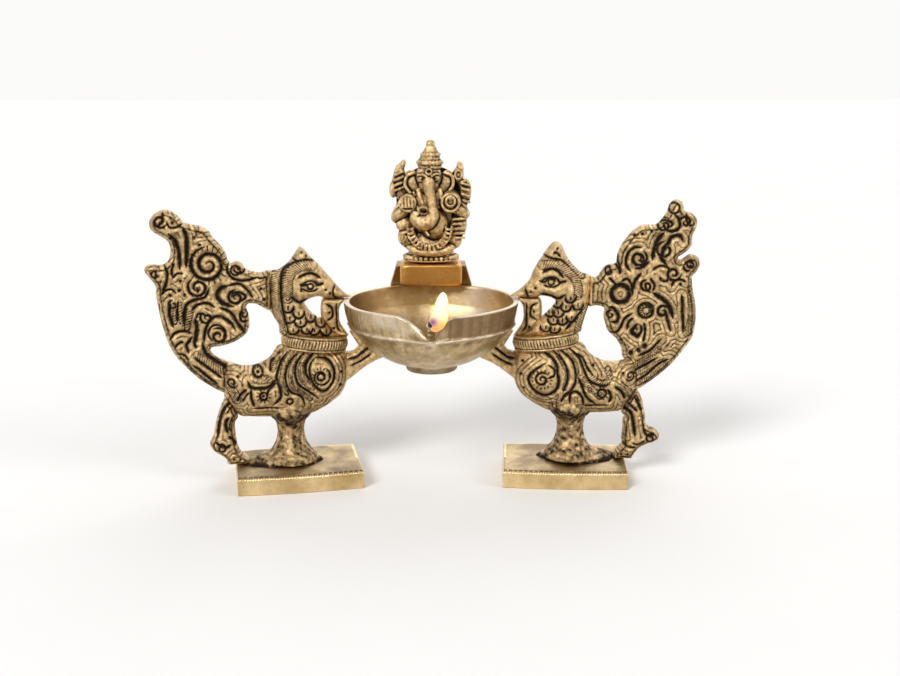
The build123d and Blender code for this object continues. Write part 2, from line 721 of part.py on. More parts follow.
bowl_seat = bowl_space(FIT, FLOOR_Z - FIT, RIM_Z + FIT)
left = Side("left", -1, LEFT_TURN, LEFT_BEAK_REACH, LEFT_NAPE_HIGH_Z)
right = Side("right", 1, RIGHT_TURN, RIGHT_BEAK_REACH, RIGHT_NAPE_HIGH_Z)
birds = [
    (left, LEFT_FAN_EDGE, LEFT_FAN_WINDOW, LEFT_CROWN, LEFT_FACE),
    (right, RIGHT_FAN_EDGE, RIGHT_FAN_WINDOW, RIGHT_CROWN, RIGHT_FACE),
]
make_bowl()
make_wick()
make_plinth()
make_bracket(bowl_seat)
make_figure()
make_figure_screw()
for side, fan_edge, fan_window, crown, face in birds:
    make_base(side)
    make_foot_screw(side)
    make_leg_plume(side)
    make_body(side)
    make_collar(side)
    make_tail_fan(side, fan_edge, fan_window)
    make_neck_head(side, crown, face, bowl_seat)
    make_beak_strut(side, bowl_seat)
    make_chest_arm(side, bowl_seat)
    make_arm_pin(side)
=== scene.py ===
from math import cos, pi, radians, sin

import bmesh
import bpy
import numpy as np
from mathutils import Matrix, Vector


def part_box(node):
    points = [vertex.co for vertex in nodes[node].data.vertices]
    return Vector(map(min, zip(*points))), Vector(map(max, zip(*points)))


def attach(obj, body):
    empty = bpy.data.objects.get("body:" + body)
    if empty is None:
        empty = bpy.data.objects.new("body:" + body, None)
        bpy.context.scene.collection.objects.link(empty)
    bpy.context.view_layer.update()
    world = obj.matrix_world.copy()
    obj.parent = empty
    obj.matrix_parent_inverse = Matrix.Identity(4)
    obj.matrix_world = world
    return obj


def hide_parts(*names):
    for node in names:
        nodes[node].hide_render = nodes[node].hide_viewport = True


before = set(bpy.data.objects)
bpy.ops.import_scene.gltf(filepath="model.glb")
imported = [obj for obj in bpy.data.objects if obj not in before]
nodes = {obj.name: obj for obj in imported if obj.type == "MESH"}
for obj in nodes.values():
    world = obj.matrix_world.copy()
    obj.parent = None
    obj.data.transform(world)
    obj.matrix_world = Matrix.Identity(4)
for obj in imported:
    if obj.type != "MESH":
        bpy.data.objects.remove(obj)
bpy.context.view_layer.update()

# Brass oil lamp: a spouted bowl held between two standing birds, with a seated elephant-headed figure behind it.
# Lengths in this file are millimetres until a mesh is made. Each bird is drawn on its own upright plane through
# its stem: u runs outwards from the stem, away from the bowl, and z up from the table.
MM = 0.001


# ---- Table top, lights and camera
# A pale matt table top in a white studio that darkens behind the camera, with three broad soft lights: a key from
# the upper left, a weaker fill from the right and one from behind. The camera looks slightly down at the front.
FLOOR_SIZE = 6000.0
CAMERA_PLACE = (1.1, -401.4, 143.2)
CAMERA_AIM = (8.3, -1.4, 48.0)
CAMERA_LENS = 49.08
SUN_AWAY = 400
SUNS = {
    "key": ((-0.62, -0.95, 0.85), 2.5, 22),
    "fill": ((0.95, -0.45, 0.55), 0.9, 26),
    "back": ((0.25, 0.9, 0.8), 0.6, 40),
}


def aim(thing, place, target):
    """Put a light or a camera at a place, its -Z turned to the target."""
    thing.location = Vector(place) * MM
    thing.rotation_euler = (Vector(target) - Vector(place)).to_track_quat("-Z", "Y").to_euler()
    bpy.context.scene.collection.objects.link(thing)


lens = bpy.data.cameras.new("camera")
lens.lens = CAMERA_LENS
lens.clip_start = 0.01
camera = bpy.data.objects.new("camera", lens)
aim(camera, CAMERA_PLACE, CAMERA_AIM)
bpy.context.scene.camera = camera
bpy.context.scene.view_settings.view_transform = "Standard"

for light_name, (way, strength, spread) in SUNS.items():
    sun = bpy.data.lights.new(light_name, "SUN")
    sun.energy = strength
    sun.angle = radians(spread)
    aim(bpy.data.objects.new(light_name, sun), [SUN_AWAY * part for part in way], (0, 0, 0))

world = bpy.data.worlds.new("studio")
world.use_nodes = True
air = world.node_tree
way = air.nodes.new("ShaderNodeTexCoord")
parts = air.nodes.new("ShaderNodeSeparateXYZ")
wall = air.nodes.new("ShaderNodeValToRGB")
wall.color_ramp.elements[0].position = 0.0
wall.color_ramp.elements[0].color = (0.20, 0.185, 0.165, 1)
wall.color_ramp.elements[1].position = 0.62
wall.color_ramp.elements[1].color = (0.97, 0.965, 0.955, 1)
span = air.nodes.new("ShaderNodeMapRange")
span.inputs["From Min"].default_value = -1.0
air.links.new(way.outputs["Generated"], parts.inputs["Vector"])
air.links.new(parts.outputs["Y"], span.inputs["Value"])
air.links.new(span.outputs["Result"], wall.inputs["Fac"])
air.links.new(wall.outputs["Color"], air.nodes["Background"].inputs["Color"])
bpy.context.scene.world = world


class Paint:
    """A material's node tree around one Principled shader."""

    def __init__(self, name, **constants):
        self.material = bpy.data.materials.new(name)
        self.material.use_nodes = True
        self.tree = self.material.node_tree
        self.shader = self.tree.nodes["Principled BSDF"]
        for socket, value in constants.items():
            self.shader.inputs[socket.replace("_", " ")].default_value = value

    def node(self, kind, settings=None, sockets=None, output=0):
        """Add a node: its type, its settings, then the values or links of its sockets. Gives one output."""
        made = self.tree.nodes.new(kind)
        for key, value in (settings or {}).items():
            if key == "stops":
                while len(made.color_ramp.elements) < len(value):
                    made.color_ramp.elements.new(1.0)
                for element, (position, colour) in zip(made.color_ramp.elements, value):
                    element.position = position
                    element.color = (*colour, 1)
            else:
                setattr(made, key, value)
        for key, value in (sockets or {}).items():
            if isinstance(value, Value):
                self.tree.links.new(value.socket, made.inputs[key])
            else:
                made.inputs[key].default_value = value
        return Value(self, made.outputs[output])

    def feed(self, socket, value):
        """Link a value to one of the shader's own sockets."""
        self.tree.links.new(value.socket, self.shader.inputs[socket])

    def place(self):
        """Object coordinates, in metres."""
        return self.node("ShaderNodeTexCoord", output=3)

    def noise(self, size, detail=3.0, rough=0.55):
        """Soft noise from 0 to 1 with spots about this many millimetres across."""
        sockets = {"Vector": self.place(), "Scale": 1 / (size * MM), "Detail": detail, "Roughness": rough}
        return self.node("ShaderNodeTexNoise", None, sockets)

    def attribute(self, name):
        """A number stored with each point of the mesh."""
        return self.node("ShaderNodeAttribute", {"attribute_name": name}, None, 2)

    def mix(self, factor, first, second):
        """Colour between two colours."""
        return self.node("ShaderNodeMix", {"data_type": "RGBA"}, {0: factor, 6: first, 7: second}, 2)

    def bump(self, height, depth):
        """Normal from a height that is worth this many millimetres."""
        return self.node("ShaderNodeBump", None, {"Height": height, "Distance": depth * MM})


class Value:
    """A socket in a material, on which arithmetic adds Math nodes."""

    def __init__(self, paint, socket):
        self.paint = paint
        self.socket = socket

    def math(self, operation, first, second, clamp=False):
        """Add one Math node on two values or numbers."""
        settings = {"operation": operation, "use_clamp": clamp}
        return self.paint.node("ShaderNodeMath", settings, {0: first, 1: second})

    def __add__(self, other):
        return self.math("ADD", self, other)

    def __sub__(self, other):
        return self.math("SUBTRACT", self, other)

    def __rsub__(self, other):
        return self.math("SUBTRACT", other, self)

    def __mul__(self, other):
        return self.math("MULTIPLY", self, other)

    def clamp(self):
        """The value held between 0 and 1."""
        return self.math("ADD", self, 0.0, True)

    __radd__ = __add__
    __rmul__ = __mul__


floor_mesh = bpy.data.meshes.new("table_top")
corners = np.array([(-1, -1, 0), (1, -1, 0), (1, 1, 0), (-1, 1, 0)]) * FLOOR_SIZE / 2 * MM
floor_mesh.from_pydata(corners.tolist(), [], [(0, 1, 2, 3)])
floor = bpy.data.objects.new("table_top", floor_mesh)
bpy.context.scene.collection.objects.link(floor)
matt = Paint("matt_white", Roughness=0.9, Specular_IOR_Level=0.2)
matt.feed("Base Color", matt.mix(matt.noise(40.0), (0.675, 0.667, 0.661, 1), (0.695, 0.687, 0.681, 1)))
floor_mesh.materials.append(matt.material)


# ---- Bases
# Each bird stands on its own cast brass slab, rubbed to a pale satin. The long sides bow out a little, and a row
# of punched dots runs along the front edge of the top, inside a finely notched rim.
BASE = {"length": 41.5, "depth": 30.0, "height": 5.8, "bow": 0.9, "shift": -2.0, "forward": 1.6}
BASE_DOTS = 24
DOT_INSET = 1.7
DOT_RADIUS = 0.5
DOT_DEPTH = 0.6
NOTCH_PITCH = 0.84
NOTCH_DEPTH = 0.5


class Bird:
    """Where one bird stands: its stem, over the screw in its base, and the directions of its own plane."""

    def __init__(self, name, sign, turn):
        low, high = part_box(name + "_foot_screw")
        self.name = name
        self.sign = sign
        self.stem = np.array([(low.x + high.x) / 2, (low.y + high.y) / 2, 0]) / MM
        self.out = np.array([sign * cos(radians(turn)), -sin(radians(turn)), 0])
        self.back = np.array([sign * sin(radians(turn)), cos(radians(turn)), 0])
        self.up = np.array([0, 0, 1])

    def place(self, u, back, z):
        """Points in the lamp's frame from arrays of u, distance to the back, and height."""
        parts = [np.asarray(part, float)[..., None] for part in (u, back, z)]
        return self.stem + parts[0] * self.out + parts[1] * self.back + parts[2] * self.up


WELD = 0.004
SLIVER = 0.001


def put_mesh(name, points, quads, node_names, paint, inside_out, worn, body="lamp"):
    """Make a smooth mesh from arrays of points and of four corners each, its seams merged, link it under its body and
    hide the parts it replaces.
    """
    corners = quads[:, ::-1] if inside_out else quads
    mesh = bpy.data.meshes.new(name)
    mesh.vertices.add(len(points))
    mesh.vertices.foreach_set("co", (points * MM).astype(np.float32).ravel())
    mesh.loops.add(corners.size)
    mesh.loops.foreach_set("vertex_index", corners.astype(np.int32).ravel())
    mesh.polygons.add(len(corners))
    mesh.polygons.foreach_set("loop_start", np.arange(0, corners.size, 4, dtype=np.int32))
    mesh.polygons.foreach_set("use_smooth", np.ones(len(corners), bool))
    values = worn if isinstance(worn, dict) else {"patina": worn}
    for attribute, numbers in values.items():
        mesh.attributes.new(attribute, "FLOAT", "POINT").data.foreach_set("value", numbers.astype(np.float32))
    mesh.update(calc_edges=True)
    shell = bmesh.new()
    shell.from_mesh(mesh)
    bmesh.ops.remove_doubles(shell, verts=shell.verts, dist=WELD * MM)
    bmesh.ops.dissolve_degenerate(shell, edges=shell.edges, dist=SLIVER * MM)
    shell.to_mesh(mesh)
    shell.free()
    made = bpy.data.objects.new(name, mesh)
    bpy.context.scene.collection.objects.link(made)
    mesh.materials.append(paint.material)
    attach(made, body)
    if node_names:
        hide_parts(*node_names)


def grid_quads(rows, columns, closed=False, start=0):
    """Corners of the cells of a rows by columns grid of points; closed joins the last column to the first."""
    row, column = np.meshgrid(np.arange(rows - 1), np.arange(columns if closed else columns - 1), indexing="ij")
    after = (column + 1) % columns
    near, far = row * columns, (row + 1) * columns
    corners = [near + column, near + after, far + after, far + column]
    return np.stack([corner.ravel() for corner in corners], 1) + start


def base_points(bird):
    """A rectangle's outline carried over a profile of insets and heights: u = a(L/2 - i), v = b(D/2 - i + bow)."""
    half_u, half_v = BASE["length"] / 2, BASE["depth"] / 2
    long, short = np.linspace(-1, 1, 241), np.linspace(-1, 1, 81)
    side_a = np.concatenate([long[:-1], np.ones(80), -long[:-1], -np.ones(80)])
    side_b = np.concatenate([-np.ones(240), short[:-1], np.ones(240), -short[:-1]])
    rise = BASE["height"]
    top_insets = np.concatenate([np.arange(0.7, 3.2, 0.14), np.linspace(3.4, half_v, 14)])
    inset = np.concatenate([[half_v, 8, 1, 0.25, 0.05, 0], np.zeros(6), [0.04, 0.14, 0.3, 0.5], top_insets])
    height = np.concatenate([[0, 0, 0, 0.02, 0.12, 0.4], np.linspace(1, rise - 0.7, 6)])
    height = np.concatenate([height, rise - np.array([0.4, 0.16, 0.05, 0]), np.full(len(top_insets), rise)])
    a, i = np.meshgrid(side_a, inset)
    b, z = np.meshgrid(side_b, height)
    u = a * (half_u - i)
    bow = BASE["bow"] * (1 - (u / half_u) ** 2) * (1 - i / half_v)
    teeth = NOTCH_DEPTH * (0.5 + 0.5 * np.cos(2 * pi * u / NOTCH_PITCH)) * np.exp(-((z - rise) / 0.45) ** 2)
    teeth = teeth * (i < 0.9) * (b < 0)
    v = b * (half_v - i + bow - teeth)
    spacing = BASE["length"] / BASE_DOTS
    along = u - spacing * (np.floor(u / spacing) + 0.5)
    across = v + half_v + bow - DOT_INSET
    dots = np.exp(-((along**2 + across**2) / DOT_RADIUS**2)) * (z > rise - 0.1) * (v < 0)
    ground = 0.05 * np.sin(u * 0.55 + 1) * np.cos(v * 0.45) * (z > rise - 0.1)
    z = z - DOT_DEPTH * dots + ground - 0.05 * (z > rise - 0.1)
    points = bird.place(u + BASE["shift"], v - BASE["forward"], z)
    groove_line = 0.5 * np.exp(-(((i - 0.95) / 0.16) ** 2)) * (z > rise - 0.4) * (b < 0)
    worn = np.clip(1.2 * dots + 1.6 * teeth + groove_line, 0, 1)
    # Painted light: the top inside the rim is marked for painted shade, and the sides around it for a painted
    # highlight.
    painted_shade_top = np.clip((z - rise + 0.9) / 0.5, 0, 1) * np.clip((i - 0.9) / 0.3, 0, 1)
    marks = {"patina": worn.ravel(), "top": painted_shade_top.ravel()}
    return points.reshape(-1, 3), grid_quads(*a.shape, closed=True), marks


satin = Paint("satin_base_brass")
speck = satin.noise(0.5, 4.0, 0.7)
cloud = satin.noise(9.0)
# Painted light: the sides are painted a brighter, lit gold and the top a darker, shaded copy of the same brass.
satin_painted_lit_side = satin.mix(((cloud - 0.3) * 2.4).clamp(), (0.58, 0.41, 0.18, 1), (0.96, 0.74, 0.42, 1))
satin_painted_shade_top = satin.mix(((cloud - 0.36) * 3.4).clamp(), (0.20, 0.13, 0.06, 1), (0.56, 0.42, 0.23, 1))
satin_gold = satin.mix(satin.attribute("top"), satin_painted_lit_side, satin_painted_shade_top)
pitted = ((speck - 0.56) * 5.0).clamp()
satin_gold = satin.mix((satin.attribute("patina") * 0.9 + pitted * 0.5).clamp(), satin_gold, (0.05, 0.03, 0.012, 1))
satin.feed("Base Color", satin_gold)
satin.feed("Metallic", 1.0 - 0.5 * satin.attribute("patina"))
satin.feed("Roughness", (0.30 + 0.16 * cloud + 0.25 * pitted).clamp())
satin.feed("Normal", satin.bump(speck, 0.10))

birds = [Bird("left", -1, 10.0), Bird("right", 1, 4.0)]
for bird in birds:
    points, quads, worn = base_points(bird)
    put_mesh(bird.name + "_base_slab", points, quads, [bird.name + "_base"], satin, bird.sign < 0, worn)


# ---- Screws
# Plain slotted brass screws, gone dull, hold the castings together from below.
dull = Paint("dull_screw_brass", Metallic=1.0)
dull.feed("Base Color", dull.mix(dull.noise(0.8), (0.22, 0.15, 0.06, 1), (0.36, 0.26, 0.12, 1)))
dull.feed("Roughness", 0.35 + 0.2 * dull.noise(0.5))


def repaint(node_name, paint):
    """Give a carried-over part its finish."""
    nodes[node_name].data.materials.clear()
    nodes[node_name].data.materials.append(paint.material)


for screw_name in ("left_foot_screw", "right_foot_screw", "figure_screw"):
    repaint(screw_name, dull)


# ---- Bird castings: how a casting is shaped and cut
# Every part of a bird is a flat sand casting with rounded edges. Its scroll work is cut in as dark grooves, with
# ribbed bands, rings and pits between them, and the same pattern is on both faces. Old dark patina fills the cuts.
GRID = 0.24


def smooth_line(points, closed=False, steps=5):
    """Catmull-Rom line: between b and c it is (2b + (c - a)t + (2a - 5b + 4c - d)t^2 + (3b - a - 3c + d)t^3) / 2."""
    knots = np.asarray(points, float)
    if closed:
        knots = np.vstack([knots[-1:], knots, knots[:2]])
    else:
        knots = np.vstack([2 * knots[0] - knots[1], knots, 2 * knots[-1] - knots[-2]])
    a, b, c, d = knots[:-3, None], knots[1:-2, None], knots[2:-1, None], knots[3:, None]
    t = (np.arange(steps) / steps)[None, :, None]
    line = (2 * b + (c - a) * t + (2 * a - 5 * b + 4 * c - d) * t**2 + (3 * b - a - 3 * c + d) * t**3) / 2
    line = line.reshape(-1, 2)
    return line if closed else np.vstack([line, knots[-2:-1]])


def nearest_on(line, u, z, closed=False):
    """For each point: its distance to a line, the nearest point on it, and how far along the line that lies."""
    ends = np.roll(line, -1, 0) if closed else line[1:]
    starts = line if closed else line[:-1]
    best = np.full(u.shape, 1e9)
    near_u, near_z, run = np.zeros(u.shape), np.zeros(u.shape), np.zeros(u.shape)
    gone = 0.0
    for (start_u, start_z), (end_u, end_z) in zip(starts, ends):
        step_u, step_z = end_u - start_u, end_z - start_z
        length = max(np.hypot(step_u, step_z), 1e-9)
        t = np.clip(((u - start_u) * step_u + (z - start_z) * step_z) / length**2, 0, 1)
        at_u, at_z = start_u + t * step_u, start_z + t * step_z
        away = np.hypot(u - at_u, z - at_z)
        closer = away < best
        best = np.where(closer, away, best)
        near_u = np.where(closer, at_u, near_u)
        near_z = np.where(closer, at_z, near_z)
        run = np.where(closer, gone + t * length, run)
        gone += length
    return best, near_u, near_z, run / gone, gone


def is_inside(line, u, z):
    """Whether each point lies in a closed line: a ray from it crosses the line an odd number of times."""
    inside = np.zeros(u.shape, bool)
    for (start_u, start_z), (end_u, end_z) in zip(line, np.roll(line, -1, 0)):
        if start_z != end_z:
            crosses = (start_z > z) != (end_z > z)
            inside ^= crosses & (u < start_u + (end_u - start_u) * (z - start_z) / (end_z - start_z))
    return inside


def rounded(distance, radius):
    """Quarter-round edge: sqrt(1 - (1 - d/r)^2), level past r."""
    return np.sqrt(1 - (1 - np.clip(distance / radius, 0, 1)) ** 2)


class Carving:
    """Cuts into a casting's face over its grid of points: depth in millimetres, and how dark the cut is."""

    def __init__(self, u, z):
        self.u = u
        self.z = z
        self.depth = np.zeros(u.shape)
        self.dark = np.zeros(u.shape)
        self.away = np.full(u.shape, 9.0)

    def cut(self, where, depth, dark):
        """Deepen and darken some grid points, where the new cut goes beyond what is there."""
        self.depth[where] = np.maximum(self.depth[where], depth)
        self.dark[where] = np.maximum(self.dark[where], dark)

    def near(self, line, reach):
        """The grid points inside a line's box, grown by the reach."""
        low, high = line.min(0) - reach, line.max(0) + reach
        return np.nonzero((self.u > low[0]) & (self.u < high[0]) & (self.z > low[1]) & (self.z < high[1]))

    def groove(self, width, points, depth=1.3, closed=False):
        """Along a line: depth(0.7 exp(-(t/0.5w)^2) + 0.3 exp(-(t/1.3w)^2)), thinning at both ends."""
        line = smooth_line(points, closed)
        where = self.near(line, max(3.2 * width, 4.2))
        away, _, _, run, _ = nearest_on(line, self.u[where], self.z[where], closed)
        taper = 1.0 if closed else np.sqrt(np.clip(np.minimum(run, 1 - run) * 7, 0.12, 1))
        narrow = np.exp(-((away / (0.52 * width * taper)) ** 2))
        wide = np.exp(-((away / (1.3 * width)) ** 2)) * taper
        self.cut(where, min(depth, 0.5 + 0.75 * width) * (0.64 * narrow + 0.36 * wide), 0.84 * narrow + 0.36 * wide)
        self.away[where] = np.minimum(self.away[where], away - 0.5 * width)

    def echo(self, pitch=1.35, depth=0.42, hatch=0.0):
        """Finer lines running beside every groove, one pitch apart, like the plies of a scroll.

        With hatch, short cross cuts fill every second strip, standing square to the nearest groove.
        """
        strip = np.round(self.away / pitch)
        line = np.exp(-(((self.away - pitch * strip) / 0.26) ** 2))
        open_field = 1 / (1 + np.exp(-(self.away - 0.75 * pitch) / 0.1)) * (self.away < 4.1)
        everywhere = (slice(None), slice(None))
        self.cut(everywhere, depth * line * open_field, 0.72 * line * open_field)
        if hatch:
            slope_u, slope_z = np.gradient(self.away, GRID)
            angle = np.arctan2(slope_z, slope_u)
            wave = 0.5 + 0.5 * np.cos((self.u * -np.sin(angle) + self.z * np.cos(angle)) * 2 * pi / 0.95)
            wave = wave**2 * (np.mod(np.floor(self.away / pitch), 2) == 0) * (self.away > 0.35) * (self.away < 4.1)
            self.cut(everywhere, hatch * wave, 0.5 * wave * hatch / 0.25)

    def ring(self, radius, centre, width=0.6):
        """A round groove: a circle of this radius."""
        turn = np.linspace(0, 2 * pi, 20, endpoint=False)
        circle = np.stack([centre[0] + radius * np.cos(turn), centre[1] + radius * np.sin(turn)], 1)
        self.groove(width, circle, closed=True)

    def spiral(self, radius, centre, turns, start, width=0.8, sense=1):
        """A spiral groove: r = R(1 - 0.88 t/T), the angle running with t from the start, in degrees."""
        t = np.linspace(0, 1, int(12 * turns) + 2)
        angle = radians(start) + sense * 2 * pi * turns * t
        reach = radius * (1 - 0.88 * t)
        self.groove(width, np.stack([centre[0] + reach * np.cos(angle), centre[1] + reach * np.sin(angle)], 1))

    def ribs(self, half_width, pitch, points, slant=0.6, depth=0.34):
        """A rope band: cross cuts (1 - cos(2 pi (s + slant t)/pitch))/2 within the half width, dark edges."""
        line = smooth_line(points)
        where = self.near(line, half_width + 0.5)
        away, at_u, at_z, run, length = nearest_on(line, self.u[where], self.z[where])
        side = np.sign((self.u[where] - at_u) * (at_z - line[0, 1]) - (self.z[where] - at_z) * (at_u - line[0, 0]))
        inside = 1 / (1 + np.exp((away - half_width) / 0.09))
        wave = 0.5 - 0.5 * np.cos(2 * pi * (run * length + slant * side * away) / pitch)
        edge = np.exp(-(((away - half_width) / 0.25) ** 2))
        crown = 0.22 * (away / half_width) ** 2
        self.cut(where, inside * (depth * wave**2 + crown) + 0.4 * edge, inside * wave**2 * 0.9 + 0.55 * edge)

    def pits(self, radius, centres, depth=0.8):
        """Round pits: depth exp(-(r/R)^3)."""
        for centre in centres:
            where = self.near(np.array([centre], float), 2 * radius)
            away = np.hypot(self.u[where] - centre[0], self.z[where] - centre[1])
            hole = np.exp(-((away / radius) ** 3))
            self.cut(where, depth * hole, hole)

    def scales(self, radius, centres):
        """Overlapping scales: the lower three fifths of a ring each, with a small pit in the middle."""
        turn = np.radians(np.linspace(165, 375, 9))
        for centre in centres:
            arc = np.stack([centre[0] + radius * np.cos(turn), centre[1] + radius * np.sin(turn)], 1)
            self.groove(0.65, arc)
            self.groove(0.4, [(centre[0], centre[1] + 0.5), (centre[0], centre[1] - 0.9)], 0.45)

    def rays(self, count, inner, outer, centre, first=0, last=360, width=0.35):
        """Short grooves set radially between two radii, between two angles in degrees."""
        for angle in np.radians(np.linspace(first, last, count, endpoint=last - first < 360)):
            way = np.array([np.cos(angle), np.sin(angle)])
            self.groove(width, [np.array(centre) + inner * way, np.array(centre) + outer * way], 0.4)


def cast_sheet(outline, half_thickness, edge_radius, carve, border=0.0):
    """Two height fields, -h(u, z) and +h(u, z), over a grid cut to an outline; they meet in the outline itself.

    h is the half thickness times the rounded edge, less the carving, which fades out towards the edge.
    A border is a groove that runs this far inside the outline. Cells whose middle is inside are kept, and their
    outer corners are drawn onto the outline.
    """
    line = smooth_line(outline, True)
    low, high = line.min(0) - GRID, line.max(0) + GRID
    u, z = np.meshgrid(np.arange(low[0], high[0], GRID), np.arange(low[1], high[1], GRID), indexing="ij")
    distance, near_u, near_z, _, _ = nearest_on(line, u, z, True)
    signed = np.where(is_inside(line, u, z), distance, -distance)
    kept = (signed[:-1, :-1] + signed[1:, :-1] + signed[:-1, 1:] + signed[1:, 1:]) > 0
    touching = np.zeros(u.shape, int)
    for row, column in ((0, 0), (1, 0), (0, 1), (1, 1)):
        touching[row : row + kept.shape[0], column : column + kept.shape[1]] += kept
    rim = (touching > 0) & (touching < 4)
    u = np.where(rim, near_u, u)
    z = np.where(rim, near_z, z)
    depth_in = np.where(rim, 0, np.maximum(signed, 0.02))
    carving = Carving(u, z)
    carve(carving)
    if border:
        hem = np.exp(-(((depth_in - border) / 0.3) ** 2)) + 0.5 * np.exp(-(((depth_in - border) / 0.8) ** 2))
        carving.cut((slice(None), slice(None)), 0.4 * hem, 0.55 * hem)
    edge = rounded(depth_in, edge_radius)
    thickness = half_thickness(u, z) if callable(half_thickness) else half_thickness
    height = thickness * edge
    height = np.where(rim, 0, np.maximum(height - carving.depth * np.clip(depth_in / 0.7, 0, 1), 0.25 * height))
    used = touching > 0
    front = np.cumsum(used.ravel()).reshape(u.shape) - 1
    inner = used & ~rim
    back = np.where(rim, front, used.sum() + np.cumsum(inner.ravel()).reshape(u.shape) - 1)
    row, column = np.nonzero(kept)
    corner_sets = []
    for index in (front, back):
        cell = [index[row, column], index[row + 1, column], index[row + 1, column + 1], index[row, column + 1]]
        corner_sets.append(np.stack(cell, 1))
    quads = np.vstack([corner_sets[0], corner_sets[1][:, ::-1]])
    all_u = np.concatenate([u[used], u[inner]])
    all_z = np.concatenate([z[used], z[inner]])
    across = np.concatenate([-height[used], height[inner]])
    dark = np.concatenate([carving.dark[used], carving.dark[inner]])
    return all_u, across, all_z, quads, np.clip(dark, 0, 1)


antique = Paint("antique_bird_brass")
cut_dark = antique.attribute("patina")
smudge = antique.noise(5.0, 4.0, 0.6)
grain = antique.noise(0.35, 3.0, 0.7)
tarnish = ((smudge - 0.50) * 3.2).clamp()
mottle = antique.noise(0.9, 2.0, 0.6)
gold = antique.mix(((antique.noise(1.4) - 0.3) * 2.4).clamp(), (0.42, 0.27, 0.115, 1), (0.95, 0.70, 0.38, 1))
gold = antique.mix(tarnish * 0.6, gold, (0.12, 0.064, 0.024, 1))
gold = antique.mix(((grain - 0.55) * 5.0).clamp() * 0.35, gold, (0.10, 0.06, 0.025, 1))
shade = ((cut_dark * 1.02 + 0.6 * (grain - 0.5) + 1.1 * (mottle - 0.5) + 0.2 * tarnish - 0.10) * 1.3).clamp()
antique.feed("Base Color", antique.mix(shade, gold, (0.022, 0.0125, 0.006, 1)))
antique.feed("Metallic", 1.0 - 0.15 * shade)
antique.feed("Roughness", (0.22 + 0.16 * smudge + 0.36 * shade).clamp())
antique.feed("Normal", antique.bump(grain + 1.2 * mottle, 0.26))


def put_casting(bird, piece_name, node_name, sheet, extra=()):
    """Place a cast sheet on the bird's plane, with further closed shells of the same casting."""
    u, across, z, quads, worn = sheet
    points = [bird.place(u, across, z)]
    corners = [quads]
    patina = [worn]
    count = len(points[0])
    for more_points, more_quads, more_worn in extra:
        points.append(more_points)
        corners.append(more_quads + count)
        patina.append(more_worn)
        count += len(more_points)
    name = f"{bird.name}_{piece_name}"
    node_names = [f"{bird.name}_{node_name}"]
    put_mesh(
        name, np.vstack(points), np.vstack(corners), node_names, antique,
        bird.sign < 0, np.concatenate(patina),
    )


# ---- Bird bodies
# A plump body, its cast scrolls spiralling over the breast and the wing, on a round stem that flares into a low
# rough mound on the base. Body, stem and mound are one casting.
BODY_HALF_WIDTH = 8.2
BODY_EDGE_RADIUS = 10.5
BODY_OUTLINE = [
    (-19.6, 42.6), (-19.7, 39), (-19.4, 33.4), (-17.4, 28.9), (-14.5, 26.4), (-11.5, 24.4), (-8, 22.7), (-4, 22),
    (2, 21.8), (8, 22), (13, 22.3), (17, 23), (19.2, 26), (21.4, 29.6), (22.2, 33), (21.6, 37), (20.4, 41.4),
    (16.5, 40.1), (12, 39.8), (8, 41.2), (5.6, 43.2), (3.6, 46), (0, 47), (-6, 46.8), (-12, 45.8), (-17.5, 44.6),
]
STEM_ROUGHNESS = 0.09
STEM_COLUMNS = 96
MOUND = {"half_length": 13.2, "half_depth": 7.6, "top": 4.4, "shift": 2.4}
STEM_PROFILE = [
    (0.1, 6.2), (8, 6.2), (8.6, 7.4), (8, 8.8), (6.8, 10), (5.8, 11.6), (5, 13.4), (4.6, 15.4), (4.5, 17),
    (4.7, 18.8),
    (5.2, 20.4), (6.6, 22), (7.6, 24), (6, 27), (0.1, 28),
]
LEFT_BODY_GROOVES = [
    (0.8, [
        (-8.5, 43), (-12.5, 42), (-14.5, 38.5), (-14, 34.5), (-11, 31.5), (-8, 33.5), (-6.5, 37), (-6.5, 40.5),
        (-8.5, 43)
    ]),
    (0.9, [(-8, 44.5), (-5.5, 41.5), (-5, 38.5), (-6.5, 35)]),
    (0.7, [(-5.5, 45), (-2.5, 42), (-1.5, 38.5), (-2.5, 34.5), (-5, 32.5), (-7.5, 30.5), (-9, 29)]),
    (0.7, [(-3, 45), (0, 42), (1.5, 38.5), (1.5, 35), (0, 32), (-3.5, 30), (-4.5, 26.5)]),
    (0.8, [(0.5, 45), (2.5, 42.5), (4, 39), (4.5, 36.5), (3.5, 33), (3.5, 30), (6.5, 27)]),
    (0.7, [(4.5, 43), (6, 41.5), (6.5, 38.5)]),
    (0.9, [(4.5, 36.5), (7, 34), (10, 33.5), (13, 34), (14, 36)]),
    (0.7, [(4.5, 35.5), (7.5, 32.5), (8, 30), (9.5, 29.5), (10.5, 31)]),
    (0.7, [(13, 33.5), (13, 30.5), (12, 27)]),
    (0.8, [(14.5, 33.5), (16.5, 31.5), (17.5, 29)]),
    (0.6, [(16, 29), (14.5, 31.5), (13.5, 32.5)]),
    (0.6, [(13, 26.5), (6.5, 26.5), (0, 25.5), (-5, 26.5)]),
]
LEFT_BODY_RIBS = [
    (0.7, 0.6, [(-4, 44.5), (-1, 41.5), (0, 37.5), (-0.5, 34), (-3.5, 31.5), (-6.5, 29)]),
    (0.7, 0.6, [(-1, 45), (1.5, 42), (2.5, 38.5), (3, 35), (1.5, 31.5)]),
    (0.6, 0.6, [(2.5, 45), (4.5, 42), (5.5, 39)]),
    (0.9, 0.6, [(-5.5, 43.5), (-3.5, 40), (-4, 36), (-7, 33)]),
    (1.2, 0.6, [(12, 37), (10, 36), (7, 36.5)]),
    (1.6, 0.7, [(20, 35), (17.5, 29.5)]),
]
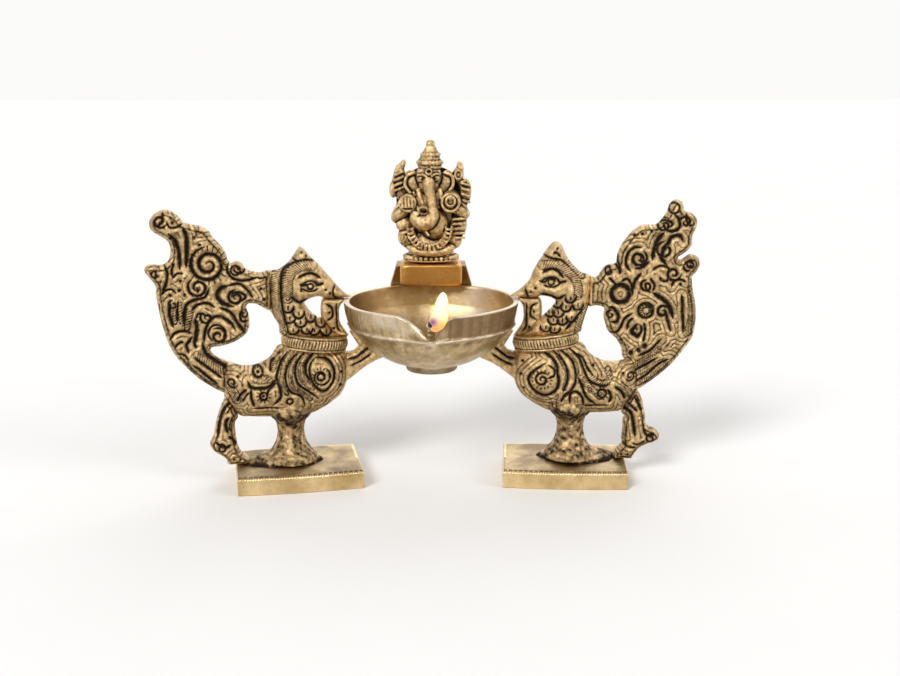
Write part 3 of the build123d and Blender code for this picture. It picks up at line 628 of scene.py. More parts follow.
RIGHT_BODY_GROOVES = [
    (0.9, [(-9, 40.5), (-12.5, 38), (-14.5, 35), (-12.5, 31), (-8.5, 29.5), (-5, 32), (-4.5, 36), (-6, 39.5)]),
    (0.6, [(-8, 40), (-6, 38.5), (-6, 36.5), (-8, 35.5)]),
    (0.8, [(-9.5, 44), (-6.5, 42), (-5, 39), (-5, 35.5)]),
    (0.7, [(-6.5, 44.5), (-3.5, 42), (-2, 39), (-1.5, 35.5), (-3, 30.5)]),
    (0.7, [(-4.5, 45), (-0.5, 42), (1, 38), (1, 34), (-1, 30.5), (-2.5, 28.5)]),
    (0.8, [(-1.5, 45.5), (2, 42.5), (4, 38), (6, 34.5), (10, 33), (12.5, 33.5)]),
    (0.7, [(0.5, 44), (3.5, 42), (5, 39), (7, 36.5)]),
    (0.8, [(2, 36), (3.5, 32.5), (5, 29), (8, 26.5)]),
    (0.8, [(-0.5, 26.5), (-0.5, 30), (1.5, 31), (3.5, 29), (4, 26)]),
    (0.7, [(-3.5, 27), (-2.5, 29.5), (-1, 31)]),
    (0.8, [(12, 32), (13, 29.5), (12.5, 27)]),
    (0.8, [(14, 33), (16.5, 31), (18, 28)]),
    (0.6, [(-3.5, 26), (1, 25.5), (6.5, 26), (12.5, 26)]),
]
RIGHT_BODY_RIBS = [
    (0.7, 0.6, [(-5, 43.5), (-3, 40.5), (-1.5, 37), (-2.5, 32)]),
    (0.7, 0.6, [(-2.5, 44.5), (1, 40.5), (1.5, 37)]),
    (0.9, 0.8, [(4, 39), (6, 36), (10, 34), (12.5, 35.5), (12, 38)]),
    (1.2, 0.7, [(3, 35.5), (6, 32.5), (9.5, 29.5)]),
    (1.2, 0.7, [(15.5, 34), (18, 31.5), (20.5, 29)]),
    (1.2, 0.6, [(-12.5, 29), (-9.5, 28), (-5.5, 27)]),
]


def sum_of_waves(x, y, z, seed, size):
    """Smooth roughness from -1 to 1: the mean of ten sine waves in seeded directions, times 2."""
    draw = np.random.default_rng(seed)
    total = np.zeros(x.shape)
    for _ in range(10):
        way = draw.normal(size=3)
        way *= draw.uniform(0.6, 1.7) * 2 * pi / (size * 2.4 * np.linalg.norm(way))
        total += np.sin(x * way[0] + y * way[1] + z * way[2] + draw.uniform(0, 2 * pi))
    return np.clip(total / 5, -1, 1)


def turned_stem(bird, seed):
    """The stem's profile turned round its axis, roughened with a few seeded sine waves."""
    line = smooth_line(STEM_PROFILE, steps=6)
    angle, radius = np.meshgrid(np.linspace(0, 2 * pi, STEM_COLUMNS, endpoint=False), line[:, 0])
    height = np.repeat(line[:, 1:2], STEM_COLUMNS, 1)
    bumps = sum_of_waves(radius * np.cos(angle), radius * np.sin(angle), height, seed, 1.0)
    radius = np.where(radius > 0.3, radius + STEM_ROUGHNESS * bumps, 0)
    points = bird.place(radius * np.cos(angle), radius * np.sin(angle), height)
    worn = np.clip(0.46 - 0.4 * bumps + 0.35 * np.exp(-(((height - 22.3) / 1.4) ** 2)), 0, 0.8)
    return points.reshape(-1, 3), grid_quads(*angle.shape, closed=True), worn.ravel()


def mound(bird, seed):
    """The low mound on the base, closed below: an oval dome, z = top (1 - r^2)^0.7, lumpy where it was chased."""
    steps = np.append(np.linspace(0, 1, 46), 0)
    share, angle = np.meshgrid(steps, np.linspace(0, 2 * pi, 180, endpoint=False), indexing="ij")
    edge = 1 + 0.05 * np.sin(3 * angle + seed) + 0.035 * np.sin(7 * angle + 2 * seed)
    u = MOUND["shift"] + MOUND["half_length"] * share * edge * np.cos(angle)
    across = MOUND["half_depth"] * share * edge * np.sin(angle)
    lumps = sum_of_waves(u, across, 0 * u, seed + 5, 1.5)
    rise = MOUND["top"] * np.clip(1 - share**2, 0, 1) ** 0.7
    rise[-1] = 0
    z = BASE["height"] - 0.1 + rise * (0.86 + 0.14 * lumps)
    hollow = np.clip((u - 9) / 3, 0, 1) * np.clip(1.2 - share, 0, 1)
    worn = np.clip(0.34 - 0.4 * lumps + 0.7 * hollow + 0.7 * np.exp(-(((share - 0.97) / 0.07) ** 2)), 0, 1)
    quads = grid_quads(*share.shape, closed=True)[:, ::-1]
    return bird.place(u, across, z).reshape(-1, 3), quads, worn.ravel()


def carve_strokes(carving, grooves, ribs=()):
    """Cut rope bands (half width, pitch, points), then grooves (width, points)."""
    for half_width, pitch, points in ribs:
        carving.ribs(half_width, pitch, points)
    for width, points in grooves:
        carving.groove(width, points)


def carve_left_body(carving):
    """The left bird's breast and wing scrolls."""
    carve_strokes(carving, LEFT_BODY_GROOVES, LEFT_BODY_RIBS)
    carving.ring(1.2, (-10, 36.5))
    carving.ring(1.2, (9, 31))
    carving.ring(1.0, (0.5, 28.5))
    carving.ring(1.6, (10.5, 38.5))
    carving.spiral(1.8, (19, 35.5), 1.5, 200, 0.6)
    carving.spiral(3.4, (-10, 36.5), 1.6, 120, 0.55)
    carving.rays(16, 2.4, 3.3, (-10, 36.5), 0, 360, 0.3)
    carving.rays(11, 1.7, 2.6, (9, 31), 0, 360, 0.3)
    carving.rays(8, 0.9, 1.7, (10.5, 38.5), 0, 360, 0.3)
    carving.echo(1.25, 0.32, 0.12)
    carving.pits(0.6, [(9, 31), (10.5, 38.5), (-16.5, 33), (-17, 37.5), (17, 37.5)])


def carve_right_body(carving):
    """The right bird's breast and wing scrolls."""
    carve_strokes(carving, RIGHT_BODY_GROOVES, RIGHT_BODY_RIBS)
    carving.ring(1.4, (10, 30.5))
    carving.spiral(2.6, (-10, 35), 1.6, 40, 0.6)
    carving.rays(15, 2.7, 3.6, (-10, 35), 0, 360, 0.3)
    carving.rays(10, 1.8, 2.6, (10, 30.5), 0, 360, 0.3)
    carving.spiral(1.8, (19.5, 36), 1.5, 200, 0.6)
    carving.echo(1.25, 0.32, 0.12)
    carving.pits(0.6, [(-16, 31.5), (-17, 36.5), (-16.5, 41), (17, 37), (7, 39.5)])


body_makers = ((carve_left_body, 3, 2), (carve_right_body, 8, 6))
for bird, (carve_body, stem_seed, mound_seed) in zip(birds, body_makers):
    body_sheet = cast_sheet(BODY_OUTLINE, BODY_HALF_WIDTH, BODY_EDGE_RADIUS, carve_body)
    shells = [turned_stem(bird, stem_seed), mound(bird, mound_seed)]
    put_casting(bird, "plump_body", "body", body_sheet, shells)


# ---- Collars
# A rope of slanting ribs round the foot of each neck, between two plain fillets, tipped a little to the front.
COLLAR = {"u": -8.6, "z": 45.2, "tilt": 6.0, "length": 22.6, "depth": 15.6, "height": 5.2}


def collar_points(bird):
    """An oval ring: the radius grows by b sin^0.7(pi t) over the height t, with cos ribs of the rope laid on it."""
    t, angle = np.meshgrid(np.linspace(0, 1, 40), np.linspace(0, 2 * pi, 720, endpoint=False), indexing="ij")
    girth = pi * (COLLAR["length"] + COLLAR["depth"]) / 2
    ribs = round(girth / 0.95)
    wave = 0.5 + 0.5 * np.cos(ribs * angle + 5.5 * (t - 0.5))
    belly = np.clip(np.sin(pi * np.clip((t - 0.16) / 0.68, 0, 1)), 0, 1) ** 0.7
    fillet = np.exp(-(((t - 0.09) / 0.07) ** 2)) + np.exp(-(((t - 0.91) / 0.07) ** 2))
    swell = 0.25 * fillet + belly * (0.35 + 0.32 * wave)
    closing = np.clip(np.minimum(t, 1 - t) / 0.03, 0, 1) ** 0.5
    half_length = (COLLAR["length"] / 2 - 0.75 + swell) * closing
    half_depth = (COLLAR["depth"] / 2 - 0.75 + swell) * closing
    along, lift = half_length * np.cos(angle), (t - 0.12) * COLLAR["height"]
    tilt = radians(COLLAR["tilt"])
    u = COLLAR["u"] + along * cos(tilt) - lift * sin(tilt)
    z = COLLAR["z"] + along * sin(tilt) + lift * cos(tilt)
    worn = np.clip(belly * (1 - wave) ** 2 * 0.9 + 0.9 * np.exp(-(((t - 0.18) / 0.04) ** 2)), 0, 1)
    worn = np.maximum(worn, 0.9 * np.exp(-(((t - 0.82) / 0.04) ** 2)))
    points = bird.place(u, half_depth * np.sin(angle), z)
    return points.reshape(-1, 3), grid_quads(*t.shape, closed=True), worn.ravel()


for bird in birds:
    points, quads, worn = collar_points(bird)
    node_names = [bird.name + "_collar"]
    put_mesh(bird.name + "_rope_collar", points, quads, node_names, antique, bird.sign < 0, worn)


# ---- Leg plumes
# A drooping plume props the rump from behind and stands on the outer end of the base. It has a rolled foot and
# long grooves down its length.
LEG_THICKNESS = 3.7
LEFT_LEG_OUTLINE = [
    (21.4, 30.6), (21.9, 28.6), (23.2, 25.9), (24.6, 21.7), (25.8, 16.6), (27.1, 13.4), (25.9, 10.8), (23.2, 8.9),
    (21.8, 7.4), (21.4, 5.9), (18, 5.8), (14.6, 5.9), (14.2, 7.6), (15.6, 9.1), (17, 10.3), (17.9, 12.6),
    (18.4, 15.4), (18.6, 18.4), (18.4, 20.8), (17.4, 22.6), (18.9, 26.4),
]
RIGHT_LEG_OUTLINE = [
    (21.6, 30.6), (22.9, 29.4), (24.2, 26.4), (25.3, 21.4), (25.9, 17.7), (29, 16.2), (30.4, 13.9), (29.2, 12.1),
    (25.8, 10.8), (23.4, 9.2), (21.6, 6.4), (21.2, 5.8), (18, 5.8), (15, 5.8), (15.2, 8), (16.6, 9.8), (17.8, 11.2),
    (17.5, 13), (17.8, 16.4), (17.8, 19.6), (18.4, 20.8), (17.2, 22.4), (18.8, 26.4),
]
LEFT_LEG_GROOVES = [
    (1.0, [(19, 28.5), (21.5, 26.5), (23, 23.5), (24, 19.5), (24.5, 16)]),
    (1.0, [(20.5, 23), (21.5, 21.5), (21.5, 19.5), (21, 17.5)]),
    (0.5, [(19, 23.5), (20, 21.5), (20.5, 19.5), (20, 18)]),
    (0.8, [(25.5, 15), (24, 13.5), (22, 12.5), (20, 13.5)]),
    (0.8, [(21, 16.5), (19.5, 15), (18.5, 13)]),
    (0.5, [(21, 24.5), (20.5, 25.5), (19, 26.5)]),
]
RIGHT_LEG_GROOVES = [
    (1.0, [(13, 25), (17, 24.5), (20, 23), (21, 20), (21.5, 17), (22, 14)]),
    (0.9, [(21.5, 28), (22.5, 26), (24, 23)]),
    (0.8, [(19, 26), (21, 24.5), (22.5, 23)]),
    (0.8, [(24.5, 19), (25, 16), (26.5, 14.5), (28.5, 15)]),
    (0.6, [(21, 12), (23, 11.5), (25.5, 13)]),
    (0.7, [(17.5, 12), (20, 10.5), (22.5, 10.5)]),
]


def carve_left_leg(carving):
    """The left bird's long plume grooves."""
    carve_strokes(carving, LEFT_LEG_GROOVES)
    carving.spiral(1.7, (23.4, 12.2), 1.3, 60, 0.6)
    carving.echo(1.2, 0.36)
    carving.pits(0.5, [(22.6, 27.4), (17.2, 8), (19.4, 8.2)])


def carve_right_leg(carving):
    """The right bird's long plume grooves."""
    carve_strokes(carving, RIGHT_LEG_GROOVES)
    carving.spiral(1.8, (27.2, 13.6), 1.3, 60, 0.6)
    carving.echo(1.2, 0.36)
    carving.pits(0.5, [(17.4, 8), (19.6, 8)])


leg_makers = ((LEFT_LEG_OUTLINE, carve_left_leg), (RIGHT_LEG_OUTLINE, carve_right_leg))
for bird, (outline, carve_leg) in zip(birds, leg_makers):
    put_casting(bird, "plume_prop", "leg_plume", cast_sheet(outline, LEG_THICKNESS, 2.4, carve_leg, 1.2))


# ---- Tail fans
# The tail sweeps up from the rump and over to the nape, its edge rising in scrolls. Spirals, ribbed plumes and
# eyes of a peacock's tail fill it, cut on both faces.
TAIL_THICKNESS = 3.4
LEFT_TAIL_OUTLINE = [
    (5.4, 71.3), (8, 71.1), (10.2, 71.3), (13, 72.4), (14.2, 74.3), (15.9, 75.1), (17.9, 74.5), (18.8, 75.8),
    (19.4, 78.2), (21.1, 80.8), (23.2, 83.1), (24.4, 85.2), (26.6, 86.7), (29, 87.3), (32.2, 88.3), (33.8, 90.3),
    (36, 91.9), (38.4, 92.4), (41, 91.2), (42.6, 89.3), (42.9, 87.6), (42.1, 85.6), (39.8, 84), (37.9, 82.7),
    (37, 81.2), (36.8, 78.8), (37.2, 76.8), (38.3, 75.2), (40.4, 74.6), (42.8, 74.9), (44.6, 74.4), (45.3, 73),
    (44.5, 71.4), (43, 69.4), (42, 67.6), (42, 64.8), (41.7, 61.8), (41.1, 57.7), (40.3, 53.6), (39.1, 49),
    (37.6, 45.6), (35.6, 42.5), (32.3, 38.8), (29, 35.6), (25.6, 33.2), (22.6, 31.4), (20.4, 31.2), (20, 36),
    (20.4, 41.4), (22.4, 42.6), (24.4, 44), (25.5, 45.6), (24.8, 46.7), (22, 47), (17.9, 48.1), (14.9, 49.8),
    (13.3, 51.3), (12.5, 53.9), (12.6, 57), (13.3, 59.4), (12.7, 60.8), (10.6, 60.8), (8.5, 59.7), (6.2, 58.4),
    (5.2, 59.4), (5.1, 65),
]
RIGHT_TAIL_OUTLINE = [
    (5.4, 68.9), (7.2, 68.4), (8.6, 70), (10, 72), (11.8, 73), (13.8, 73.5), (14.4, 77), (16.4, 81), (19, 84.1),
    (22, 86.1), (26.4, 86.4), (28.2, 88), (29.8, 90.4), (30.8, 93.2), (32.7, 94.6), (34.8, 93.6), (35.7, 90.9),
    (38, 90.1), (39.8, 88.1), (39.6, 85.3), (38.6, 82.9), (38.4, 79.6), (36.2, 77), (34.2, 75.6), (35, 74.7),
    (37.9, 76.5), (40.6, 75.6), (41.4, 73.2), (40.2, 70.6), (39.1, 69.2), (39.5, 64.6), (40.6, 59.6), (40.8, 53.2),
    (39.8, 48.4), (37.2, 44.4), (33.9, 40), (29.8, 35.9), (25.2, 32.2), (22.6, 30.6), (20.4, 31), (20, 36),
    (18.6, 40), (17, 41.6), (16.4, 44.9), (14.6, 47.8), (11.8, 50.5), (11, 52.8), (10.2, 55.7), (10.3, 58.3),
    (7.6, 59.1), (5.6, 58.6), (5, 60), (5, 64.6),
]
LEFT_TAIL_GROOVES = [
    (1.2, [(37, 85), (35, 82.5), (34, 79), (34, 73.5)]),
    (1.3, [(32.5, 87), (31.5, 84), (31.5, 79), (32, 74)]),
    (0.8, [(39, 75), (38, 72.5), (38.5, 69), (40, 65.5)]),
    (0.7, [(35.5, 75.5), (36.5, 73.5), (36.5, 71)]),
    (0.7, [(38.5, 92), (38.5, 89.5), (39.5, 88), (41, 87)]),
    (0.6, [(37.5, 89), (36.5, 87), (34.5, 87), (32.5, 88)]),
    (1.1, [(37.5, 62.5), (38, 59), (37, 54.5)]),
    (0.7, [(35, 63), (35.5, 59.5), (35.5, 56)]),
    (0.9, [(25, 67), (26.5, 64), (30.5, 63), (33, 60.5), (33.5, 54)]),
    (0.8, [(31, 59.5), (29, 61.5), (26, 62), (23.5, 60.5)]),
    (1.3, [(30, 57), (29.5, 53.5), (30.5, 48.5)]),
    (0.6, [(29.5, 57), (29, 58.5), (27.5, 58.5), (26.5, 58)]),
    (1.0, [(22, 60.5), (18.5, 58.5), (16.5, 55), (14, 51.5)]),
    (0.9, [(27.5, 48.5), (27, 52), (25.5, 56), (22.5, 57.5), (19, 55.5), (17, 52.5)]),
    (0.6, [(24.5, 49), (26, 51.5), (25, 54), (22.5, 54.5), (20.5, 52.5), (21.5, 50)]),
    (0.8, [(14.5, 59.5), (15.5, 57.5), (15, 55.5), (13, 55.5)]),
    (0.8, [(38.5, 50), (36.5, 52.5), (33.5, 53), (31, 52)]),
    (0.7, [(33, 49), (31, 51)]),
    (0.8, [(18.5, 75), (19, 72.5), (17.5, 70), (14, 69), (9, 70)]),
    (0.6, [(17, 73.5), (16.5, 72), (14.5, 71.5), (13, 73)]),
    (1.4, [(19, 67.5), (21.5, 66.5), (22.5, 64), (20.5, 61.5), (17.5, 60.5)]),
    (0.8, [(19, 67.5), (15.5, 68), (13, 66), (11, 63)]),
    (0.8, [(18, 63.5), (17.5, 65), (15, 65), (13.5, 63.5), (15.5, 62)]),
    (0.6, [(29, 67.5), (28.5, 66), (29, 65.5)]),
    (0.6, [(40.5, 65), (39, 66.5), (37, 67), (35.5, 65.5)]),
    (0.6, [(36.5, 70.5), (35, 72), (33, 72)]),
    (0.7, [(37, 47.5), (35.5, 49), (34, 49.5)]),
    (0.8, [(31.5, 50), (33, 48.5), (33, 47.5), (32.5, 45.5)]),
    (0.9, [(30.5, 50), (30.5, 48.5), (30, 47)]),
    (1.2, [(28, 49), (27, 45), (24, 42.5), (20.5, 40), (18, 38.5), (14.5, 37.5)]),
    (0.8, [(31, 44), (28, 41.5), (25, 39), (22, 36.5)]),
    (0.8, [(31.5, 41.5), (29, 39.5), (26.5, 37), (23.5, 34.5)]),
    (0.6, [(36, 45.5), (34, 45), (32.5, 43)]),
]
LEFT_TAIL_RIBS = [
    (0.7, 0.9, [(36, 61.5), (36.5, 56)]),
    (0.6, 0.9, [(34.5, 62), (34.5, 56)]),
    (1.3, 0.9, [(31.5, 60), (33, 54)]),
    (1.0, 0.9, [(30, 45), (27, 42.5), (24, 40), (21, 38.5)]),
    (0.5, 0.6, [(33.5, 43), (31, 38.5), (27.5, 36), (23.5, 33.5)]),
    (0.6, 0.8, [(24, 42.5), (20.5, 40.5), (16, 39.5)]),
]
RIGHT_TAIL_GROOVES = [
    (0.9, [(32, 90), (33.5, 88.5), (34, 86), (32, 84.5), (29.5, 85), (29, 86.5)]),
    (0.7, [(27, 87), (29, 88), (31, 87.5), (31.5, 86.5), (30.5, 85.5)]),
    (0.8, [(36, 90.5), (36, 88.5), (37, 86.5), (38.5, 86.5)]),
    (1.3, [(29, 84), (27, 81.5), (26, 78), (25.5, 75)]),
    (1.2, [(35.5, 81), (34, 83), (31.5, 82.5), (30.5, 80.5), (29, 78), (28.5, 75.5), (30.5, 73)]),
    (0.8, [(22, 79), (19.5, 79), (17.5, 77), (17, 73.5), (18.5, 71)]),
    (0.8, [(19, 76), (20.5, 77), (22.5, 76), (22.5, 74.5), (21, 74.5)]),
    (0.8, [(20, 72), (22.5, 72.5), (24.5, 74.5)]),
    (0.7, [(14, 77), (14.5, 74), (15.5, 71.5)]),
    (0.8, [(13, 74), (15, 71.5), (15, 70)]),
    (0.6, [(11.5, 72.5), (12, 71), (10.5, 70)]),
    (0.7, [(11.5, 69), (13.5, 67), (14, 66)]),
    (0.8, [(15.5, 67.5), (17.5, 68.5), (19, 66.5), (19.5, 63)]),
    (1.0, [(22, 70.5), (20, 67.5), (19.5, 64.5)]),
    (0.7, [(23.5, 67.5), (24, 65), (25.5, 64)]),
    (0.7, [(25, 69), (26.5, 66.5), (26, 64.5)]),
    (1.3, [(26, 64), (28.5, 62.5), (31, 60.5), (32.5, 57.5), (33, 55.5)]),
    (0.7, [(21.5, 59), (23, 60), (25, 59.5), (26, 57.5), (25.5, 56)]),
    (0.8, [(30.5, 57.5), (31.5, 54), (32.5, 51)]),
    (0.9, [(35.5, 63.5), (36, 60.5), (36, 58), (36.5, 53.5), (36.5, 50.5)]),
    (0.7, [(32, 66), (33, 68), (35, 68.5), (37, 67.5)]),
    (0.7, [(28, 69.5), (29, 68), (30.5, 68), (31, 69.5)]),
    (0.7, [(25.5, 71.5), (28, 73), (30.5, 72.5), (31.5, 71)]),
    (0.7, [(35.5, 73), (36.5, 71.5), (38, 71.5)]),
    (0.7, [(36, 74), (37.5, 74.5), (39, 74)]),
    (1.0, [(11.5, 59), (13.5, 58.5), (15, 56), (14.5, 54), (12.5, 54)]),
    (1.0, [(21.5, 53.5), (20, 51), (21.5, 49), (22.5, 50)]),
    (0.8, [(12, 50.5), (14.5, 50.5), (16, 52.5), (17, 55), (19.5, 57)]),
    (0.7, [(18, 51.5), (18.5, 54), (20, 55.5)]),
    (0.7, [(23.5, 54), (24, 51), (23.5, 47)]),
    (0.8, [(22, 42.5), (26, 44.5), (29.5, 48.5)]),
    (0.8, [(14.5, 37.5), (17, 38.5), (18.5, 40)]),
    (0.9, [(18.5, 35.5), (22, 38), (25.5, 40), (28.5, 42)]),
    (0.8, [(21, 33.5), (25, 36), (28.5, 39.5), (31, 41), (32.5, 41.5)]),
]
RIGHT_TAIL_RIBS = [
    (1.2, 0.7, [(38.5, 66.5), (39, 61.5), (39.5, 57), (38, 50.5)]),
    (0.8, 0.8, [(19, 38), (22, 40), (26, 42.5), (29, 45)]),
    (0.7, 0.8, [(19, 35), (23.5, 37), (27.5, 39.5), (30.5, 41)]),
    (0.8, 0.8, [(22.5, 33), (26.5, 35), (30, 38.5), (32.5, 40)]),
]


def carve_left_tail(carving):
    """The left bird's tail's scrolls, ribbed plumes and eyes."""
    carve_strokes(carving, LEFT_TAIL_GROOVES, LEFT_TAIL_RIBS)
    carving.spiral(6.0, (25, 74.5), 2.1, 80, 1.1, -1)
    carving.rays(20, 4.6, 6.6, (25, 74.5), 0, 360, 0.35)
    carving.spiral(3.5, (28.5, 67.2), 1.7, 60, 0.8, -1)
    carving.spiral(2.7, (16.6, 63.4), 1.5, 90, 0.8, -1)
    carving.spiral(2.3, (26.2, 57), 1.4, 60, 0.7, -1)
    carving.spiral(2.9, (22.8, 50.8), 1.5, 60, 0.8, 1)
    carving.spiral(2.3, (39.4, 89), 1.4, 200, 0.7, 1)
    carving.spiral(1.5, (42, 72.2), 1.2, 200, 0.6, 1)
    carving.spiral(1.7, (36.7, 61.8), 1.2, 90, 0.6, -1)
    carving.ring(1.5, (16.4, 72.4), 0.6)
    carving.spiral(1.5, (14.2, 57.8), 1.2, 90, 0.6, 1)
    carving.echo(1.3, 0.42, 0.16)
    carving.pits(0.7, [(34, 69.5), (34.5, 66.5), (33, 65), (37.5, 65), (41.5, 71.5), (35.5, 88.5), (29, 83.5)])
    carving.pits(0.7, [(27.5, 81), (36.5, 83.5), (15.5, 73), (8.5, 66), (7.5, 62.5)])


def carve_right_tail(carving):
    """The right bird's tail's scrolls, ribbed plumes and eyes."""
    carve_strokes(carving, RIGHT_TAIL_GROOVES, RIGHT_TAIL_RIBS)
    carving.ring(2.9, (15.5, 63.5), 1.5)
    carving.ring(1.7, (32, 92), 0.6)
    carving.ring(2.5, (24, 58), 0.7)
    carving.rays(14, 0.8, 2.2, (24, 58))
    carving.spiral(3.0, (29.5, 78.2), 1.5, 90, 0.8, 1)
    carving.spiral(3.0, (21, 75.4), 1.5, 60, 0.8, -1)
    carving.spiral(2.6, (29, 86.4), 1.4, 60, 0.7, 1)
    carving.spiral(2.2, (35.8, 87.4), 1.3, 200, 0.7, -1)
    carving.spiral(2.6, (32.6, 70.4), 1.5, 0, 0.8, -1)
    carving.spiral(2.2, (24, 66.2), 1.4, 90, 0.7, 1)
    carving.spiral(2.4, (29.6, 57.6), 1.4, 0, 0.8, 1)
    carving.spiral(2.3, (20.8, 51.2), 1.3, 60, 0.8, -1)
    carving.spiral(1.7, (38.2, 73.4), 1.3, 60, 0.6, 1)
    carving.spiral(1.6, (12.4, 56.4), 1.2, 60, 0.6, 1)
    carving.spiral(1.7, (11.6, 71), 1.3, 60, 0.6, 1)
    carving.echo(1.3, 0.42, 0.16)
    carving.pits(0.7, [(19.5, 83), (25, 84.5), (22, 83.5), (35, 67), (38, 73)])
    carving.pits(1.1, [(19.5, 43.5), (24, 46), (22, 44.5)])


tail_makers = ((LEFT_TAIL_OUTLINE, carve_left_tail), (RIGHT_TAIL_OUTLINE, carve_right_tail))
for bird, (outline, carve_tail) in zip(birds, tail_makers):
    put_casting(bird, "scrolled_tail", "tail_fan", cast_sheet(outline, TAIL_THICKNESS, 1.8, carve_tail, 1.5))


# ---- Necks and heads
# The crested head bends forward over the rim, with a heavy beak, a round eye, a ribbed ruff and scales on the
# throat. It thins towards the beak and towards the nape, where the tail's bridge meets it.
LEFT_NECK_OUTLINE = [
    (2.2, 49.8), (3, 53.2), (4.8, 56.6), (5.9, 59), (5.9, 64), (5.8, 70.8), (2.6, 71.9), (0.7, 73), (-1, 74.4),
    (-2.3, 76.1), (-3.6, 78), (-4.7, 79.2), (-6, 78.4), (-8.3, 75.6), (-10.7, 73.1), (-13.5, 69.8), (-16.6, 66),
    (-19, 63.4), (-21.4, 61.9), (-18, 61.65), (-12.2, 61.7), (-10.9, 62.4), (-8.9, 62.3), (-7, 61.6), (-5.8, 60.7),
    (-6.4, 59.2), (-7.9, 57.2), (-10, 55.4), (-11.8, 54.8), (-13.6, 52.6), (-16, 50.2), (-18.2, 48.2), (-12, 48.4),
    (-4, 49),
]
RIGHT_NECK_OUTLINE = [
    (2.4, 49.8), (3.4, 52.2), (4.2, 55.4), (5.2, 58.6), (5.8, 62), (5.7, 68.7), (2.8, 70.1), (0.5, 71.9),
    (-1.8, 74.7), (-3.2, 77.2), (-4.2, 79.4), (-5.6, 80.4), (-6.8, 80.3), (-8, 79.2), (-9.5, 77.2), (-11.4, 74.1),
    (-13.4, 70.7), (-14.4, 67.9), (-16.4, 65.5), (-18.9, 63.4), (-20.8, 61.9), (-17.6, 61.65), (-12.2, 61.7),
    (-10.6, 62.2), (-8.6, 62), (-6.8, 61.4), (-5.8, 60.4), (-6.6, 58.8), (-8, 57.2), (-10, 55.4), (-11.8, 54.8),
    (-13.6, 52.6), (-16, 50.2), (-18.2, 48.2), (-12, 48.4), (-4, 49),
]
LEFT_NECK_GROOVES = [
    (0.8, [(-4.5, 75.5), (-1.5, 74), (1, 72), (2, 68.5), (2, 63.5), (1.5, 58.5), (0.5, 53.5), (0, 51)]),
    (0.8, [(-3.5, 69.5), (-5.5, 70.5), (-8, 71), (-10.5, 69.5), (-11, 69)]),
    (0.7, [(-4, 67.5), (-5.5, 67), (-6.5, 67.5)]),
    (0.7, [(-9, 67.5), (-10, 67), (-12, 67.5)]),
    (0.5, [(-4.5, 66), (-4.5, 65)]),
    (0.6, [(-2, 76), (-3.5, 75), (-6, 75.5), (-9.5, 74.5)]),
    (0.8, [(-1, 63.5), (-3.5, 61.5), (-5.5, 62), (-6.5, 62.5)]),
    (0.6, [(-16, 66.5), (-15, 64.5), (-15.5, 62.5), (-17, 61.5)]),
]
LEFT_NECK_RIBS = [
    (1.3, 0.7, [(1, 73), (3.5, 70.5), (4, 66), (4, 61), (3, 56), (2, 51)]),
    (1.7, 0.75, [(-8.5, 73.5), (-5.5, 73.5), (-2.5, 72.5), (-0.5, 70), (0, 66.5), (0, 63)]),
]
RIGHT_NECK_GROOVES = [
    (0.8, [(-10.5, 70.5), (-9, 71.5), (-7, 72), (-5, 71), (-3.5, 69)]),
    (0.7, [(-11.5, 68), (-10, 67.5), (-9, 68), (-8, 69), (-6.5, 68.5), (-6, 67.5)]),
    (0.7, [(-5.5, 68.5), (-4.5, 67.5), (-2.5, 68)]),
    (0.6, [(-7, 77), (-6, 77.5), (-4.5, 76)]),
    (0.9, [(-11, 63.5), (-8, 63), (-5, 62), (-2.5, 63.5)]),
    (0.8, [(-2.5, 51.5), (0, 54.5), (2, 57), (3.5, 58.5)]),
    (0.7, [(-16, 65), (-15, 62), (-14.5, 59.5), (-14, 57)]),
    (0.6, [(-10.5, 76.5), (-7.5, 75.5), (-4.5, 75), (-2, 73)]),
]
RIGHT_NECK_RIBS = [
    (1.4, 0.8, [(-10.5, 73), (-7.5, 73.5), (-4.5, 73), (-2, 71), (0.5, 68.5), (1.5, 65.5), (1.5, 63)]),
    (1.0, 0.8, [(-2, 74.5), (0.5, 71.5), (3, 69.5)]),
    (1.1, 0.8, [(4, 59), (2.5, 55), (1.5, 51), (1.5, 48)]),
]


def neck_thickness(u, z):
    """Half thickness along u: 2.2 at the beak's tip, 5.3 over the cheek, 3.5 at the nape."""
    return np.interp(u, [-22, -12.5, -8, 0, 5.6], [2.1, 4.6, 5.3, 5.3, 3.5])


def carve_eye(carving, centre):
    """An almond eye: a ring groove round the pupil between an upper and a lower lid."""
    u, z = centre
    carving.ring(0.95, centre, 0.5)
    carving.groove(0.55, [(u + 3.2, z - 0.2), (u + 1.8, z + 1.3), (u, z + 1.8), (u - 1.9, z + 1.2), (u - 3.6, z)])
    carving.groove(0.5, [(u + 3.0, z - 0.4), (u + 1.2, z - 1.4), (u - 0.8, z - 1.5), (u - 2.6, z - 0.8)])


def carve_left_neck(carving):
    """The left bird's ruff, throat scales and eye."""
    carve_strokes(carving, LEFT_NECK_GROOVES, LEFT_NECK_RIBS)
    carving.scales(1.9, [(-3.5, 58), (-7.5, 56.5), (-4, 55), (-11, 54.5), (-6, 52.5), (-8.5, 52), (-12.5, 51.5)])
    carving.scales(1.9, [(-1.5, 52.5), (-0.5, 56.5), (0, 60)])
    carve_eye(carving, (-7.5, 66.6))
    carving.pits(0.5, [(-5, 77.8), (-6.5, 76.5), (-12.5, 65.2), (-14, 63.8)])


